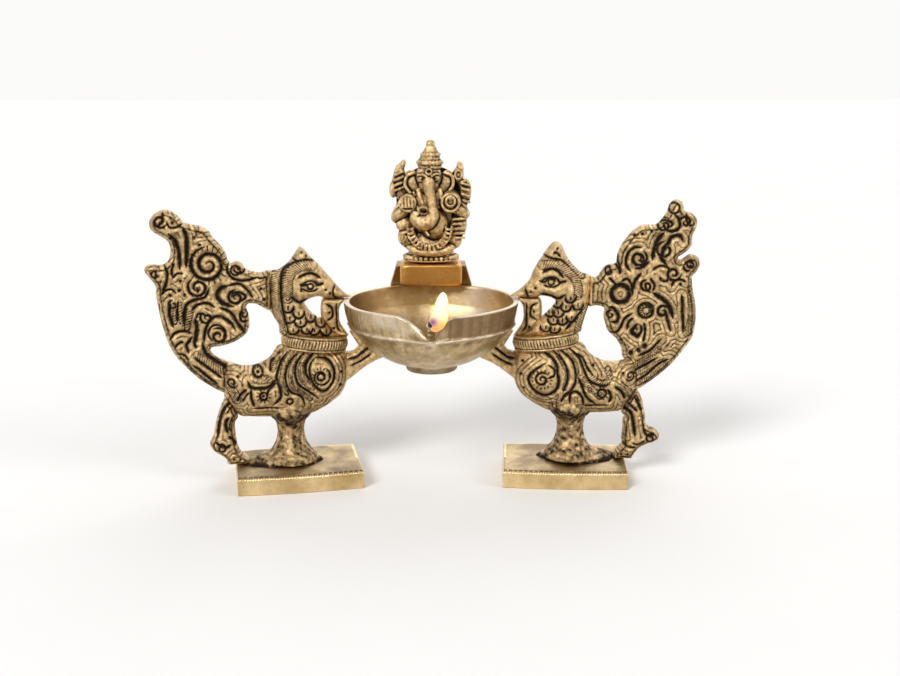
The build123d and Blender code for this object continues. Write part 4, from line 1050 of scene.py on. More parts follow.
def carve_right_neck(carving):
    """The right bird's ruff, throat scales and eye."""
    carve_strokes(carving, RIGHT_NECK_GROOVES, RIGHT_NECK_RIBS)
    carving.scales(1.8, [(-5.5, 60.5), (-2.5, 59.5), (-8, 57.5), (-5, 57.5), (-0.5, 56), (-3.5, 55), (-6.5, 55)])
    carving.scales(1.8, [(-6, 52), (-9, 52.5), (-1, 62.5), (1.5, 60)])
    carve_eye(carving, (-7.5, 67.5))
    carving.pits(1.2, [(-11.5, 57.5)])
    carving.pits(0.5, [(-5.6, 78.6), (-12.6, 65.4), (-14.2, 63.8)])


neck_makers = ((LEFT_NECK_OUTLINE, carve_left_neck), (RIGHT_NECK_OUTLINE, carve_right_neck))
for bird, (outline, carve_neck) in zip(birds, neck_makers):
    put_casting(bird, "crested_head", "neck_head", cast_sheet(outline, neck_thickness, 3.0, carve_neck))


# ---- Struts and arms
# Two small castings join each bird to the bowl: a strut of vine between the beak, the throat and the rim, and a
# tongue from the breast that carries the underside of the bowl.
BEAK_U = (-19.2, -18.4)
ARM_SHIFT = -6.4
STRUT_THICKNESS = 2.3
ARM_THICKNESS = 3.0
STRUT_OUTLINE = [
    (0, 61.4), (1.6, 58.8), (2, 56), (1.6, 53), (-0.4, 49.8), (-0.9, 48.6), (2.6, 48.7), (4.6, 50.4), (6.4, 52.6),
    (7.9, 54.8), (8.2, 58), (7.4, 61.5), (3.6, 61.6),
]
ARM_OUTLINE = [
    (10, 32), (7.4, 32.4), (5, 33.8), (2.4, 35.8), (-0.4, 37.8), (-3.4, 39.4), (-6.6, 41), (-6, 43.4), (-3.4, 45.2),
    (-0.8, 47.6), (0.9, 46.9), (2.2, 44.8), (4, 43.4), (7, 43), (10, 42),
]


def carve_strut(carving, shift):
    """Vine lines down a strut."""
    carving.groove(0.6, [(shift + 6.6, 60), (shift + 4.6, 58.6), (shift + 4.4, 55.6), (shift + 6.4, 54.2)])
    carving.groove(0.5, [(shift + 3, 60), (shift + 3, 56), (shift + 2.8, 52), (shift + 1.4, 50)])
    carving.pits(0.5, [(shift + 5.4, 57), (shift + 4, 51.6)])


def carve_arm(carving, shift):
    """Two lines along the tongue."""
    carving.groove(0.7, [(shift + 6, 41), (shift + 3.4, 41.4), (shift + 1.4, 42.8), (shift - 1.4, 45)])
    carving.groove(0.5, [(shift + 5.4, 38.6), (shift + 1.6, 40.2), (shift - 2, 42.6)])


for bird, rim_u in zip(birds, BEAK_U):
    outline = [(u + rim_u, z) for u, z in STRUT_OUTLINE]
    strut_sheet = cast_sheet(outline, STRUT_THICKNESS, 1.3, lambda carving: carve_strut(carving, rim_u))
    put_casting(bird, "vine_strut", "beak_strut", strut_sheet)
    outline = [(u + rim_u + ARM_SHIFT, z) for u, z in ARM_OUTLINE]
    arm_sheet = cast_sheet(outline, ARM_THICKNESS, 2.2, lambda carving: carve_arm(carving, rim_u + ARM_SHIFT))
    put_casting(bird, "breast_tongue", "chest_arm", arm_sheet)
    repaint(bird.name + "_arm_pin", antique)


# ---- Bowl
# The oil bowl is cast brass, paler and smoother than the birds. A plain band runs above an uneven raised line, the
# underside is brushed, and the front is pinched into a spout split by the wick's notch, one lip lapping the other.
BOWL_AXIS = (2.1, -1.9)
RIM_TOP = 61.5
LINE_Z = 53.6
RIM_R = 29.0
RIM_REACH = 4.0
BAND = {"foot": 54, "outer": 27.6, "outer_grows": 1.4, "inner": 25.9, "inner_grows": 1.3}
BAND_REACH = 3.1
BAND_REACH_GROWS = 0.9
SPOUT_R = 2.9
NOTCH_ACROSS = [-10.6, -7.4, -3.8, -1.9, -1.2, 1.2, 1.8, 2.9, 5.4, 7.4]
NOTCH_HEIGHT = [61.5, 60.3, 58, 55.9, 54.7, 54.7, 56, 58.8, 60.9, 61.5]
BOWL_OUTSIDE = [
    (37.5, 0.0, 0), (37.5, 3, 0), (37.55, 7.6, 0), (37.7, 8.3, 0), (38.1, 8.6, 0), (39.2, 8.6, 0), (39.7, 8.9, 0),
    (40, 9.8, 0.8), (40.7, 12, 1.1), (41.7, 14.6, 1.2), (43, 16.9, 1.2), (44.7, 19.4, 1.2), (46.6, 22, 1.3),
    (48.6, 24, 1.8), (50.6, 25.5, 2.3), (52, 26.6, 2.7), (52.7, 27, 2.9), (53.2, 27.7, 3), (53.6, 28, 3.1),
    (54, 27.7, 3.1),
]
BOWL_INSIDE = [
    (54, 25.9, 3.1), (52.4, 25.1, 2.8), (50, 23.4, 2.2), (47.6, 21, 1.6), (45.2, 17.8, 1.2), (43.4, 14.2, 0.8),
    (42.3, 10.4, 0.4), (41.9, 6, 0), (41.8, 2.6, 0), (41.8, 0.0, 0),
]


def spouted(turn, radius, reach):
    """Plan radius by angle from the front: a circle R joined to the tip circle r by its tangents.

    Near the tip it is c cos a + sqrt(r^2 - c^2 sin^2 a), then R / cos(A - a) up to the tangent point A, then R.
    """
    turn = np.abs(turn)
    tip = np.minimum(SPOUT_R, 0.6 * radius + 1e-6)
    centre = np.maximum(radius + reach - tip, 1e-6)
    touch = np.arccos(np.clip((radius - tip) / centre, -1, 1))
    tip_end = np.arctan2(tip * np.sin(touch), centre + tip * np.cos(touch))
    near_tip = centre * np.cos(turn) + np.sqrt(np.maximum(tip**2 - (centre * np.sin(turn)) ** 2, 0))
    line = radius / np.cos(np.clip(touch - turn, -1.4, 1.4))
    return np.where(turn < tip_end, near_tip, np.where(turn < touch, line, radius))


share = np.linspace(-1, 1, 961)[:-1]
turn = pi * (0.34 * share + 0.66 * share**3)
rim_x = spouted(turn, RIM_R, RIM_REACH) * np.sin(turn)
rim_z = np.where(np.abs(turn) < pi / 2, np.interp(rim_x, NOTCH_ACROSS, NOTCH_HEIGHT), RIM_TOP)
rim_z = rim_z - 0.18 * (0.5 + 0.5 * np.sin(5 * turn + 1)) * (np.abs(turn) > 0.3)
strokes = sum_of_waves(turn * RIM_R, 0 * turn, 0 * turn, 31, 0.9)
lip_left = np.exp(-(((rim_x + 3.4) / 3.6) ** 2)) * (np.abs(turn) < 0.6) * np.clip((0.9 - rim_x) / 1.2, 0, 1)
lip_right = np.exp(-(((rim_x - 5.0) / 4.6) ** 2)) * (np.abs(turn) < 0.6) * (rim_x > 0)

# Each row is height, radius, spout reach and zone: 0 below the band, up to 1 on it, 2 on the lip, 3 down the
# inside of the band and 4 inside the bowl.
foot = BAND["foot"]
rows = [(np.full(turn.shape, z), radius, spout, 0.0) for z, radius, spout in BOWL_OUTSIDE]
for climb in np.linspace(0.06, 1, 14):
    radius = BAND["outer"] + BAND["outer_grows"] * climb
    rows.append((foot + climb * (rim_z - foot), radius, BAND_REACH + BAND_REACH_GROWS * climb, climb))
for inset, drop in ((0.12, -0.16), (0.5, -0.24), (1.1, -0.24), (1.6, -0.14), (1.8, 0.1)):
    rows.append((rim_z - drop - 0.24, RIM_R - inset, RIM_REACH, 2.0))
for climb in np.linspace(0.94, 0.06, 10):
    radius = BAND["inner"] + BAND["inner_grows"] * climb
    rows.append((foot + climb * (rim_z - foot), radius, BAND_REACH + BAND_REACH_GROWS * climb, 3.0))
rows += [(np.full(turn.shape, z), radius, spout, 4.0) for z, radius, spout in BOWL_INSIDE]
bowl_rows = []
for z, radius, reach, zone in rows:
    reach_out = spouted(turn, np.full(turn.shape, radius), reach)
    if 0 < zone <= 1:
        bulge = sin(pi * min(zone, 0.999)) ** 0.8
        reach_out = reach_out + 0.35 * bulge * (turn < 0.02) + lip_left * (0.9 * bulge - 0.5 * zone**3)
        reach_out = reach_out - lip_right * (0.5 + 0.5 * bulge) + 0.05 * strokes * bulge
    if zone == 0 and 52.4 < z[0] < 54.2:
        reach_out = reach_out + 0.22 * sum_of_waves(turn * RIM_R, z, 0 * turn, 12, 1.6)
    if zone == 0 and 40.5 < z[0] <= 52.4:
        reach_out = reach_out + 0.10 * sum_of_waves(turn * RIM_R, z, 0 * turn, 14, 1.4)
    if zone >= 2:
        reach_out = reach_out - 0.6 * lip_right * (zone < 4)
    spot = [BOWL_AXIS[0] + reach_out * np.sin(turn), BOWL_AXIS[1] - reach_out * np.cos(turn), z]
    bowl_rows.append(np.stack(spot, 1))
bowl_points = np.array(bowl_rows)
zones = np.repeat(np.array([row[3] for row in rows])[:, None], len(turn), 1)
bowl_x, bowl_y, heights = np.moveaxis(bowl_points, -1, 0)
outer = zones <= 1
# Painted highlights: the raised line, the rim and the spout's split edge are marked to be painted pale.
raised_line_highlight = np.exp(-(((heights - LINE_Z) / 0.35) ** 2)) * outer
rough = np.exp(-(((heights - 51.9) / 0.8) ** 2)) * outer
rim_highlight = np.where((zones == 2) | (zones == 1), 1.0, 0.0)
lip_edge_highlight = np.exp(-(((bowl_x - 2.3) / 0.8) ** 2)) * outer * (bowl_y < -25) * (heights > 52)
# Painted shade: the right side of the band's front is painted a darker brown, away from the light.
side_shade = (0.92 + 0.12 * strokes) * np.clip((bowl_x - 3.2) / 5, 0, 1) * outer * (heights > 53.8) * (bowl_y < 0)
brushed = sum_of_waves(bowl_x, bowl_y, heights * 4, 44, 2.2)
soot = np.exp(-(((bowl_x - 2.1) / 2.4) ** 2)) * np.exp(-(((bowl_y + 31) / 4.5) ** 2))
# The rough cast line, soot by the wick and brushed streaks are the brass's own marks; the underside and foot below
# 39.4 mm are painted darker as painted shade under the bowl.
soot_patina_and_shade = 0.5 * rough * np.clip(0.4 + brushed, 0, 1) + 0.45 * (heights < 39.4)
soot_patina_and_shade = soot_patina_and_shade + 0.5 * soot * (heights > 53.5) * ~outer + 0.12 * np.clip(brushed, 0, 1)
ochre = np.clip(brushed + 0.6, 0, 1) * ((zones >= 3) | (heights < 42)) * ~outer
to_right = bowl_x - BOWL_AXIS[0]
# Painted highlight: a glint on the inner back right wall, and a pale patch on the left of the band.
glint = 0.8 * np.exp(-(((to_right - 17) / 6) ** 2)) * (zones >= 3) * (bowl_y > 0) * (heights > 46)
on_band = np.clip((zones - 0.2) / 0.4, 0, 1)
glint += (0.55 + 0.3 * strokes) * np.exp(-(((to_right + 14) / 7) ** 2)) * on_band * (zones < 1) * (bowl_y < 0)
# Painted shade on the inner left wall; the brown streaks on the band below are the brass's own.
inside_shade = 0.6 * np.clip(-to_right / 14, 0, 1) * (zones >= 3) * (heights > 44)
band_brown = 0.7 * np.clip(strokes, 0, 1) * (zones > 0) * (zones < 1)
bowl_marks = {
    "ochre": np.clip(ochre, 0, 1).ravel(),
    "patina": np.clip(soot_patina_and_shade, 0, 1).ravel(),
    "bright": np.clip(rim_highlight + 0.9 * raised_line_highlight + 0.9 * lip_edge_highlight + glint, 0, 1).ravel(),
    "brown": np.clip(side_shade + inside_shade + band_brown, 0, 1).ravel(),
}
pale = Paint("pale_bowl_brass")
blotch = pale.noise(6.0, 4.0, 0.6)
fine = pale.noise(0.4, 3.0, 0.7)
streak = pale.noise(1.6, 4.0, 0.6)
pale_gold = pale.mix(((blotch - 0.38) * 3.0).clamp(), (0.44, 0.315, 0.145, 1), (0.86, 0.70, 0.46, 1))
pale_gold = pale.mix(((streak - 0.5) * 3.4).clamp() * 0.6, pale_gold, (0.30, 0.19, 0.075, 1))
pale_gold = pale.mix(pale.attribute("ochre") * 0.7, pale_gold, (0.62, 0.42, 0.16, 1))
# Painted shade on the band's right side and on the inner left wall, mixed with the band's own brown streaks.
pale_gold = pale.mix((pale.attribute("brown") * 0.9).clamp(), pale_gold, (0.21, 0.125, 0.062, 1))
# Painted highlight: the marked rim, raised line, spout edge and glints are painted a pale, near white brass.
pale_gold = pale.mix(pale.attribute("bright") * 0.9, pale_gold, (0.80, 0.69, 0.56, 1))
pale_shade = (pale.attribute("patina") + ((fine - 0.62) * 4.0).clamp() * 0.4).clamp()
pale.feed("Base Color", pale.mix(pale_shade, pale_gold, (0.035, 0.022, 0.01, 1)))
pale.feed("Metallic", 1.0 - 0.15 * pale_shade)
pale.feed("Roughness", (0.24 + 0.14 * blotch + 0.3 * pale_shade + 0.08 * streak).clamp())
pale.feed("Normal", pale.bump(fine + 0.8 * streak, 0.10))
bowl_quads = grid_quads(len(rows), len(turn), True)
put_mesh("spouted_bowl", bowl_points.reshape(-1, 3), bowl_quads, ["bowl"], pale, False, bowl_marks)


# ---- Wick and flame
# A twisted cotton wick runs from the bowl out through the notch, charred at its tip, where it burns with a small
# leaning flame. The cotton is fluffed out just below the flame.
WICK_TIP = (2.1, -34.3, 60.4)
WICK_SLOPE = radians(30)
WICK_LENGTH = 33
WICK_FRONT = -34.9
FLAME_Y = -33.0
FLAME_FOOT = 57.4
FLAME_HEIGHT = 12.6
FLAME_LEVELS = [
    (57.4, 3.2, 0.05), (57.8, 3.3, 1.1), (58.8, 3.6, 2.1), (60.2, 3.9, 2.7), (61.6, 4.3, 2.8), (63.0, 4.6, 2.6),
    (64.6, 4.9, 2.35), (66, 5.15, 2.1), (67.4, 5.35, 1.75), (68.7, 5.5, 1.25), (69.6, 5.6, 0.65), (69.95, 5.65, 0.03),
]

run, spin = np.meshgrid(
    np.linspace(0, WICK_LENGTH, 260), np.linspace(0, 2 * pi, 48, endpoint=False), indexing="ij"
)
plies = 0.5 + 0.5 * np.cos(3 * spin + 2 * pi * run / 5.2)
fluff = 0.32 * np.exp(-(((run - 2.2) / 1.3) ** 2))
girth = 0.98 + 0.34 * plies + fluff + 0.05 * sum_of_waves(run * 2, np.cos(spin), np.sin(spin), 5, 0.7)
girth = girth * np.clip(np.minimum(run, WICK_LENGTH - run) / 0.5, 0, 1) ** 0.5
side, lift = girth * np.cos(spin), girth * np.sin(spin)
wick_y = WICK_TIP[1] + 0.25 + run * cos(WICK_SLOPE) + lift * sin(WICK_SLOPE)
wick_z = WICK_TIP[2] - run * sin(WICK_SLOPE) + lift * cos(WICK_SLOPE)
wick_points = np.stack([WICK_TIP[0] + side, np.maximum(wick_y, WICK_FRONT), wick_z], -1).reshape(-1, 3)
char = np.clip(1.3 - run / 1.1, 0, 1)
cotton = Paint("wick_cotton", Metallic=0.0, Roughness=0.9)
soaked = cotton.mix(cotton.noise(1.2), (0.62, 0.50, 0.30, 1), (0.80, 0.72, 0.55, 1))
cotton.feed("Base Color", cotton.mix(cotton.attribute("patina"), soaked, (0.02, 0.012, 0.02, 1)))
cotton.feed("Normal", cotton.bump(cotton.noise(0.25), 0.08))
put_mesh(
    "twisted_wick", wick_points, grid_quads(*run.shape, closed=True), ["wick"], cotton, True,
    np.clip(char + 0.35 * (1 - plies) ** 2, 0, 1).ravel(), "wick",
)

levels = np.array(FLAME_LEVELS)
flame_line = smooth_line(levels[:, :2], steps=8)
flame_r = smooth_line(np.stack([levels[:, 0], levels[:, 2]], 1), steps=8)[:, 1]
flame_r[[0, -1]] = 0
rise, spin = np.meshgrid(np.arange(len(flame_r)), np.linspace(0, 2 * pi, 64, endpoint=False), indexing="ij")
flame_radius = np.clip(flame_r, 0.0, None)[rise]
flame_x = flame_line[rise, 1] + flame_radius * np.cos(spin)
flame_y = FLAME_Y + 0.62 * flame_radius * np.sin(spin)
flame_z = flame_line[rise, 0]
flame_points = np.stack([flame_x, flame_y, flame_z], -1).reshape(-1, 3)
height_share = (flame_z - FLAME_FOOT) / FLAME_HEIGHT
heart_x, heart_z = flame_points[:, 0] - 2.3, flame_points[:, 2] - 60.8
heart = np.exp(-((heart_x / 1.8) ** 2) - (heart_z / 1.6) ** 2) * (flame_points[:, 1] < FLAME_Y)
fire = Paint("flame", Base_Color=(0, 0, 0, 1), Roughness=1.0, Specular_IOR_Level=0.0)
facing = fire.node("ShaderNodeLayerWeight", None, {"Blend": 0.35}, 1)
stops = [(0.0, (0.75, 0.22, 0.10)), (0.2, (1.0, 0.45, 0.10)), (0.42, (1.0, 0.85, 0.50)), (1.0, (1.0, 0.93, 0.72))]
warmth = fire.node("ShaderNodeValToRGB", {"stops": stops}, {"Fac": fire.attribute("patina")})
warmth = fire.mix(fire.attribute("heart"), warmth, (0.16, 0.06, 0.22, 1))
fire.feed("Emission Color", fire.mix((facing * 0.9).clamp(), warmth, (1.0, 0.55, 0.12, 1)))
fire.shader.inputs["Emission Strength"].default_value = 1.5
put_mesh(
    "flame", flame_points, grid_quads(len(flame_r), 64, True), [], fire, False,
    {"patina": height_share.ravel(), "heart": heart}, "wick",
)


# ---- Plinth and bracket
# The figure sits on a plain cast block, a warmer orange than the rest, on a bracket of dull brass that rises from
# the bowl's back rim.
warm = Paint("warm_plinth_brass")
warm_cloud = warm.noise(5.0)
warm_pits = ((warm.noise(0.9, 3.0, 0.7) - 0.60) * 7.0).clamp()
warm_gold = warm.mix(warm_cloud, (0.52, 0.255, 0.06, 1), (0.72, 0.40, 0.12, 1))
warm.feed("Base Color", warm.mix(warm_pits * 0.8, warm_gold, (0.05, 0.028, 0.01, 1)))
warm.feed("Metallic", 1.0 - 0.5 * warm_pits)
warm.feed("Roughness", (0.30 + 0.15 * warm_cloud + 0.2 * warm_pits).clamp())
warm.feed("Normal", warm.bump(warm.noise(0.5), 0.10))
repaint("figure_bracket", dull)
PLINTH = {"x": 2.1, "y": 24.6, "low": 62.0, "high": 69.5, "half_width": 10.9, "half_depth": 7.0, "edge": 0.9}


def plinth_points():
    """A square outline (a, b) drawn in to (|a|^9 + |b|^9)^(-1/9), over a quarter-round profile of insets."""
    side = np.linspace(-1, 1, 121)[:-1]
    ones = np.ones(120)
    a = np.concatenate([side, ones, -side, -ones])
    b = np.concatenate([-ones, side, ones, -side])
    pull = (np.abs(a) ** 9 + np.abs(b) ** 9) ** (-1 / 9)
    round_off = np.linspace(0, pi / 2, 8)
    edge, low, high = PLINTH["edge"], PLINTH["low"], PLINTH["high"]
    half_width, half_depth = PLINTH["half_width"], PLINTH["half_depth"]
    inset = np.concatenate([[half_depth, 4, 2], edge * (1 - np.sin(round_off)), np.zeros(12)])
    inset = np.concatenate([inset, edge * (1 - np.cos(round_off)), np.linspace(1.2, half_depth, 8)])
    height = np.concatenate([[low] * 3, low + edge * (1 - np.cos(round_off)), np.linspace(low + 1.2, high - 1.2, 12)])
    height = np.concatenate([height, high - edge * (1 - np.sin(round_off)), np.full(8, high)])
    across, row = np.meshgrid(a * pull, np.arange(len(inset)))
    deep = np.meshgrid(b * pull, np.arange(len(inset)))[0]
    x = across * (half_width - np.minimum(inset[row] * half_width / half_depth, half_width))
    y = deep * (half_depth - inset[row])
    z = height[row]
    waves = sum_of_waves(x, y, z, 51, 3.2)
    shrink = 1 - 0.012 * (0.5 + 0.5 * waves)
    points = np.stack([PLINTH["x"] + x * shrink, PLINTH["y"] + y * shrink, z - 0.06 * (waves + 1)], -1)
    return points.reshape(-1, 3), grid_quads(*across.shape, closed=True)


plinth_spots, plinth_quads = plinth_points()
put_mesh(
    "cast_plinth", plinth_spots, plinth_quads, ["figure_plinth"], warm, False,
    np.zeros(len(plinth_spots)),
)


# ---- Seated figure
# A small elephant-headed figure, cast solid with its lotus seat: four arms, the trunk curled to its right, a round
# belly over a ribbed sash and a stepped crown. The forms run together as in wax, with dark patina in the hollows
# and painted shade on the faces set back behind the figure.
FIGURE_AT = (2.1, 24.6, 69.5)
VOXEL = 0.21
figure_points, figure_quads = [], []


def add_shell(points, rows, columns):
    """Add a closed grid of figure points given as right, forward and up from the seat's middle."""
    start = sum(len(part) for part in figure_points)
    figure_points.append(points.reshape(-1, 3))
    figure_quads.append(grid_quads(rows, columns, True, start))


def blob(x, forward, z, radii, lean=0.0):
    """An ellipsoid, leaned about its forward axis by an angle in degrees."""
    t, angle = np.meshgrid(np.linspace(0, pi, 25), np.linspace(0, 2 * pi, 40, endpoint=False), indexing="ij")
    side = radii[0] * np.sin(t) * np.cos(angle)
    ahead = radii[1] * np.sin(t) * np.sin(angle)
    lift = radii[2] * np.cos(t)
    turned_side = side * cos(radians(lean)) + lift * sin(radians(lean))
    turned_lift = lift * cos(radians(lean)) - side * sin(radians(lean))
    add_shell(np.stack([x + turned_side, forward + ahead, z + turned_lift], -1), 25, 40)


def tube(points, radii, closed=False, ribs=None):
    """A round rod along a smooth line; ribs=(pitch, height) adds height (1 + cos(2 pi s / pitch)) / 2."""
    knots = np.array(points, float)
    flat = smooth_line(knots[:, :2], closed, 10)
    lift = smooth_line(knots[:, 1:], closed, 10)[:, 1]
    line = np.column_stack([flat, lift])
    ahead = np.roll(line, -1, 0) - np.roll(line, 1, 0) if closed else np.gradient(line, axis=0)
    ahead /= np.maximum(np.linalg.norm(ahead, axis=1, keepdims=True), 1e-9)
    first = np.cross(ahead, (0.12, 1.0, 0.07))
    first /= np.linalg.norm(first, axis=1, keepdims=True)
    second = np.cross(ahead, first)
    run = np.concatenate([[0], np.cumsum(np.linalg.norm(np.diff(line, axis=0), axis=1))])
    width = np.interp(np.linspace(0, 1, len(line)), np.linspace(0, 1, len(radii)), radii)
    if ribs:
        width = width + ribs[1] * (0.5 + 0.5 * np.cos(2 * pi * run / ribs[0]))
    if closed:
        line, first, second = (np.vstack([part, part[:1]]) for part in (line, first, second))
        width = np.append(width, width[0])
    else:
        line = np.vstack([line[:1], line, line[-1:]])
        first, second = (np.vstack([part[:1], part, part[-1:]]) for part in (first, second))
        width = np.concatenate([[0], width, [0]])
    angle = np.linspace(0, 2 * pi, 20, endpoint=False)
    around = first[:, None] * np.cos(angle)[:, None] + second[:, None] * np.sin(angle)[:, None]
    add_shell(line[:, None] + width[:, None, None] * around, len(line), 20)


def hoop(x, forward, z, across, high, radius, count=12):
    """A ring facing forwards."""
    turns = np.linspace(0, 2 * pi, count, endpoint=False)
    tube([(x + across * cos(t), forward, z + high * sin(t)) for t in turns], [radius], True)


def bead_ring(x, forward, z, across, deep, radius, count):
    """A level ring of beads."""
    for t in np.linspace(0, 2 * pi, count, endpoint=False):
        blob(x + across * cos(t), forward + deep * sin(t), z, (radius, radius, radius))


# Seat, legs and sash
blob(0, 0, 0.9, (9.9, 6.2, 1.0))
blob(0, 0, 2.6, (8.6, 5.0, 2.6))
bead_ring(0, 0, 1.9, 9.0, 5.4, 0.95, 32)
blob(0, -0.5, 6.8, (9.0, 4.6, 4.6))
tube([(-8.6, 2.4, 6.6), (-5, 4.8, 4.6), (0, 5.7, 4.1), (5, 4.8, 4.6), (8.6, 2.4, 6.6)], [1.3, 1.5, 1.5, 1.5, 1.3])
tube([(-6, 4.8, 3.3), (0, 5.5, 2.9), (6, 4.8, 3.3)], [0.7, 0.9, 0.7])
blob(-8.2, 2.0, 9.0, (3.3, 3.2, 3.8), -20)
blob(9.6, 1.6, 12.8, (2.9, 2.8, 4.4), 10)
blob(8.4, 2.0, 8.0, (2.4, 2.6, 3.0))
for step in range(5):
    tube([(-10.6 + 0.9 * step, 4.4, 7.2 + 0.2 * step), (-9.4 + 0.9 * step, 5.3, 10.4 - 0.5 * step)], [0.45])
for rib_z in (15.6, 13.9, 12.2, 10.6, 9.0):
    tube([(7.4, 3.6, rib_z - 0.3), (9.4, 4.5, rib_z), (11.8, 3.0, rib_z - 0.1)], [0.5])
for reach in (5.7, 7.7):
    turns = np.linspace(-0.05, pi + 0.05, 11)
    sash = [(-0.5 - reach * cos(t), 5.3 + sin(t), 12.9 - 1.05 * reach * sin(t)) for t in turns]
    tube(sash, [0.38])
for t in np.linspace(0.1, pi - 0.1, 15):
    rib = [(-0.5 - reach * cos(t), 5.6 + sin(t), 12.9 - 1.05 * reach * sin(t)) for reach in (5.6, 7.6)]
    tube(rib, [0.5])

# Belly, chest and shoulders
blob(1.2, 3.0, 13.6, (4.7, 3.9, 5.3))
blob(0, -0.6, 15.6, (7.2, 4.4, 7.4))
blob(0, 0.8, 21.2, (6.4, 4.0, 4.6))
tube([(-5.6, 4.4, 20.6), (-4.2, 5.2, 17), (-2.8, 6.0, 13.4), (-0.8, 6.5, 10)], [0.5])
tube([(-4.6, 4.8, 20), (-3.4, 5.6, 17), (-1.8, 6.4, 13.6)], [0.4])
blob(0, -2.4, 21.5, (12.2, 1.7, 12.0))
blob(0, -2.0, 10.5, (10.4, 2.2, 7.0))

# Lower arms and hands
tube([(-5.4, 0.6, 24.4), (-9.4, 0.8, 20.4), (-11.8, 1.6, 16.2), (-9.8, 3.2, 18), (-8, 4.0, 20)], [2.2, 2.1, 2.0, 1.7])
tube([(5.6, 0.6, 24.2), (9.6, 0.8, 20.4), (11.6, 1.6, 16.8), (9.4, 3.2, 18.6), (7, 4.0, 20)], [2.2, 2.1, 1.9, 1.7])
blob(-9.4, 2.4, 13.6, (2.8, 2.2, 2.7))
blob(-11.9, 1.4, 15.8, (2.0, 2.0, 2.1))
blob(-8, 4.2, 21.2, (3.1, 2.2, 3.2))
for step in range(4):
    tube([(-9.9 + 1.1 * step, 5.9, 23.2), (-9.7 + 1.1 * step, 6.4, 19.6)], [0.5])
hoop(-8, 5.6, 21.2, 2.6, 2.7, 0.5)
blob(6.7, 4.2, 21.6, (3.6, 2.2, 3.7))
hoop(6.7, 5.8, 21.4, 2.9, 3.0, 0.55)
hoop(6.7, 6.2, 21.9, 1.5, 1.7, 0.42)
blob(6.8, 6.1, 23.0, (0.9, 0.8, 1.1))

# Raised arms
tube([(-5.8, -0.4, 24), (-9, -0.6, 23), (-11.6, -0.4, 25.4), (-11.4, 0, 29.4)], [2.0, 2.0, 1.9, 2.0])
blob(-11, 0.2, 29.4, (2.1, 2.0, 5.0), 6)
blob(-9.7, 0.4, 33.8, (1.0, 1.2, 2.0), 18)
blob(-13, 0.2, 25.4, (1.4, 1.7, 3.0))
for rib_z in (25.6, 27.4, 29.2, 31):
    tube([(-12.8, 1.3, rib_z - 0.6), (-11.2, 2.3, rib_z), (-9.4, 1.5, rib_z + 0.8)], [0.45])
tube([(6, -0.4, 24), (9.4, -0.6, 22.6), (12.2, -0.4, 24), (10.8, 0, 28.6)], [2.0, 1.9, 1.9, 1.8])
blob(12.1, 0.2, 24.2, (2.0, 1.9, 4.6), 4)
blob(9.5, 0.6, 30.5, (2.0, 1.9, 2.7))
blob(10.2, 0.4, 33, (1.2, 1.3, 2.2), -14)
for rib_z in (21.4, 23.4, 25.4, 27.2):
    tube([(10.5, 1.4, rib_z + 0.5), (12.2, 2.2, rib_z), (13.7, 1.2, rib_z - 0.4)], [0.45])
hoop(9.5, 2.2, 30.6, 1.1, 1.5, 0.4)

# Ears, head, trunk and tusk
blob(-6.4, 1.2, 27.8, (3.2, 1.6, 4.4), -10)
blob(5.4, 1.2, 27.8, (3.0, 1.6, 4.4), 10)
tube([(-5.4, 2.8, 31.4), (-8.2, 2.6, 30.2), (-8.8, 2.6, 27), (-6.8, 2.8, 24.2)], [0.55])
tube([(4.4, 2.8, 31.4), (7.2, 2.6, 30.2), (7.6, 2.6, 27), (5.6, 2.8, 24.2)], [0.55])
blob(-0.7, 2.0, 30.2, (4.4, 3.9, 4.7))
blob(-0.8, 3.4, 27.2, (3.4, 2.9, 3.0))
hoop(-0.7, 5.7, 32, 1.0, 0.9, 0.3)
for eye_x, eye_z in ((-3.1, 29.3), (1.7, 29.7)):
    hoop(eye_x, 5.4 - 0.12 * abs(eye_x + 0.7), eye_z, 1.2, 0.55, 0.26)
    blob(eye_x, 5.3 - 0.12 * abs(eye_x + 0.7), eye_z, (0.75, 0.35, 0.28))
tube([(-4.6, 4.4, 30.6), (-3, 5.5, 31), (-1.4, 5.9, 30.2)], [0.36])
tube([(0.2, 5.9, 30.4), (1.8, 5.6, 31.3), (3.2, 4.4, 30.9)], [0.36])
trunk = [(-0.9, 2.6, 30.4), (-0.8, 4.6, 28.4), (-0.6, 5.4, 25.8), (0, 5.9, 23.2), (0.4, 6.1, 20)]
trunk += [(0.8, 6.4, 17.4), (-0.6, 6.6, 15.2), (-3, 6.5, 14.6), (-5.2, 6.3, 16.2), (-5.0, 6.2, 18.6)]
tube(trunk, [2.0, 2.3, 1.9, 1.6, 1.6, 2.1, 2.6, 2.7, 2.2, 1.3])
hoop(-2.6, 6.4, 18.6, 1.7, 1.3, 0.45)
tube([(-4.4, 4.6, 26), (-3.8, 5.6, 23.4), (-2.6, 6.2, 20.8)], [0.9, 0.8, 0.5])
tube([(3.0, 4.6, 26), (3.4, 5.4, 24.4), (3.2, 5.8, 22.8)], [0.8, 0.7, 0.4])

# Crown
tube([(-0.4, 1.2, 33), (-0.3, 1.1, 35), (-0.1, 1, 37.4), (0, 0.9, 39.6), (0, 0.8, 41.4)], [4.2, 4.1, 3.1, 2.1, 1.0])
bead_ring(-0.3, 1.1, 34.8, 3.9, 3.8, 0.85, 20)
bead_ring(-0.1, 1.0, 37.5, 2.9, 2.8, 0.7, 16)
blob(0, 0.8, 41.2, (1.5, 1.5, 1.3))

# Two small fillers inside the body
blob(-5.7, -0.7, 11.1, (0.7, 0.7, 0.7))
blob(-4.4, -2.4, 23.8, (0.7, 0.7, 0.7))

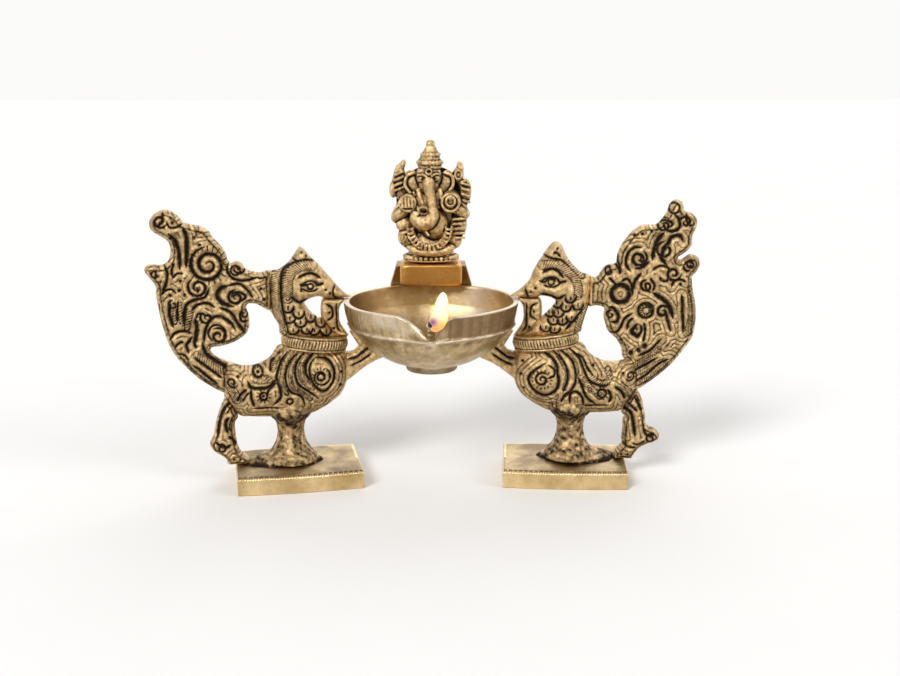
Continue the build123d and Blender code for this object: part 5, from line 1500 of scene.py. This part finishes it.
seat = np.vstack(figure_points)
placed = np.stack([FIGURE_AT[0] + seat[:, 0], FIGURE_AT[1] - seat[:, 1], FIGURE_AT[2] + seat[:, 2]], 1)
figure_corners = np.vstack(figure_quads)
wax_mesh = bpy.data.meshes.new("figure_wax")
wax_mesh.from_pydata((placed * MM).tolist(), [], figure_corners.tolist())
wax = bpy.data.objects.new("figure_wax", wax_mesh)
bpy.context.scene.collection.objects.link(wax)
fuse = wax.modifiers.new("fuse", "REMESH")
fuse.mode = "VOXEL"
fuse.voxel_size = VOXEL * MM
soften = wax.modifiers.new("soften", "SMOOTH")
soften.iterations = 4
fused = bpy.data.meshes.new_from_object(wax.evaluated_get(bpy.context.evaluated_depsgraph_get()))
bpy.data.objects.remove(wax)
figure_count = len(fused.vertices)
spots = np.zeros(figure_count * 3)
fused.vertices.foreach_get("co", spots)
spots = spots.reshape(-1, 3) / MM
outward = np.zeros(figure_count * 3)
fused.vertices.foreach_get("normal", outward)
outward = outward.reshape(-1, 3)
ends = np.zeros(len(fused.edges) * 2, np.int32)
fused.edges.foreach_get("vertices", ends)
ends = ends.reshape(-1, 2)
links = np.bincount(ends.ravel(), minlength=figure_count)[:, None]


def averaged(values, rounds):
    """Each vertex's value replaced by its neighbours' mean, this many times."""
    for _ in range(rounds):
        total = np.zeros(values.shape)
        np.add.at(total, ends[:, 0], values[ends[:, 1]])
        np.add.at(total, ends[:, 1], values[ends[:, 0]])
        values = total / np.maximum(links, 1)
    return values


hollow = np.sum((averaged(spots, 7) - spots) * outward, 1) / 0.16
broad = np.sum((averaged(spots, 30) - spots) * outward, 1) / 0.5
# Painted shade: faces behind the figure's middle that turn to the front are painted darker, behind the body; the
# hollows hold the casting's own dark patina.
set_back_shade = np.clip((spots[:, 1] - FIGURE_AT[1] - 0.2) / 1.4, 0, 1) * np.clip(-outward[:, 1] * 2, 0, 1)
figure_patina_and_shade = np.clip(0.35 + 1.2 * hollow + 0.85 * broad + 1.1 * set_back_shade, 0, 1)

# Fusing leaves a few closed boxes of eight points inside the body. Each of their points has three links, so faces
# between such points that touch no other kind of face are left out.
corners = np.zeros(len(fused.loops), np.int32)
fused.loops.foreach_get("vertex_index", corners)
corners = corners.reshape(-1, 4)
boxed = np.ones(figure_count, bool)
boxed[corners[~(links[corners, 0] == 3).all(1)]] = False
corners = corners[~boxed[corners].all(1)]
used, corners = np.unique(corners, return_inverse=True)
corners = corners.reshape(-1, 4)
put_mesh("seated_figure", spots[used], corners, ["figure"], antique, False, figure_patina_and_shade[used])
bpy.data.meshes.remove(fused)
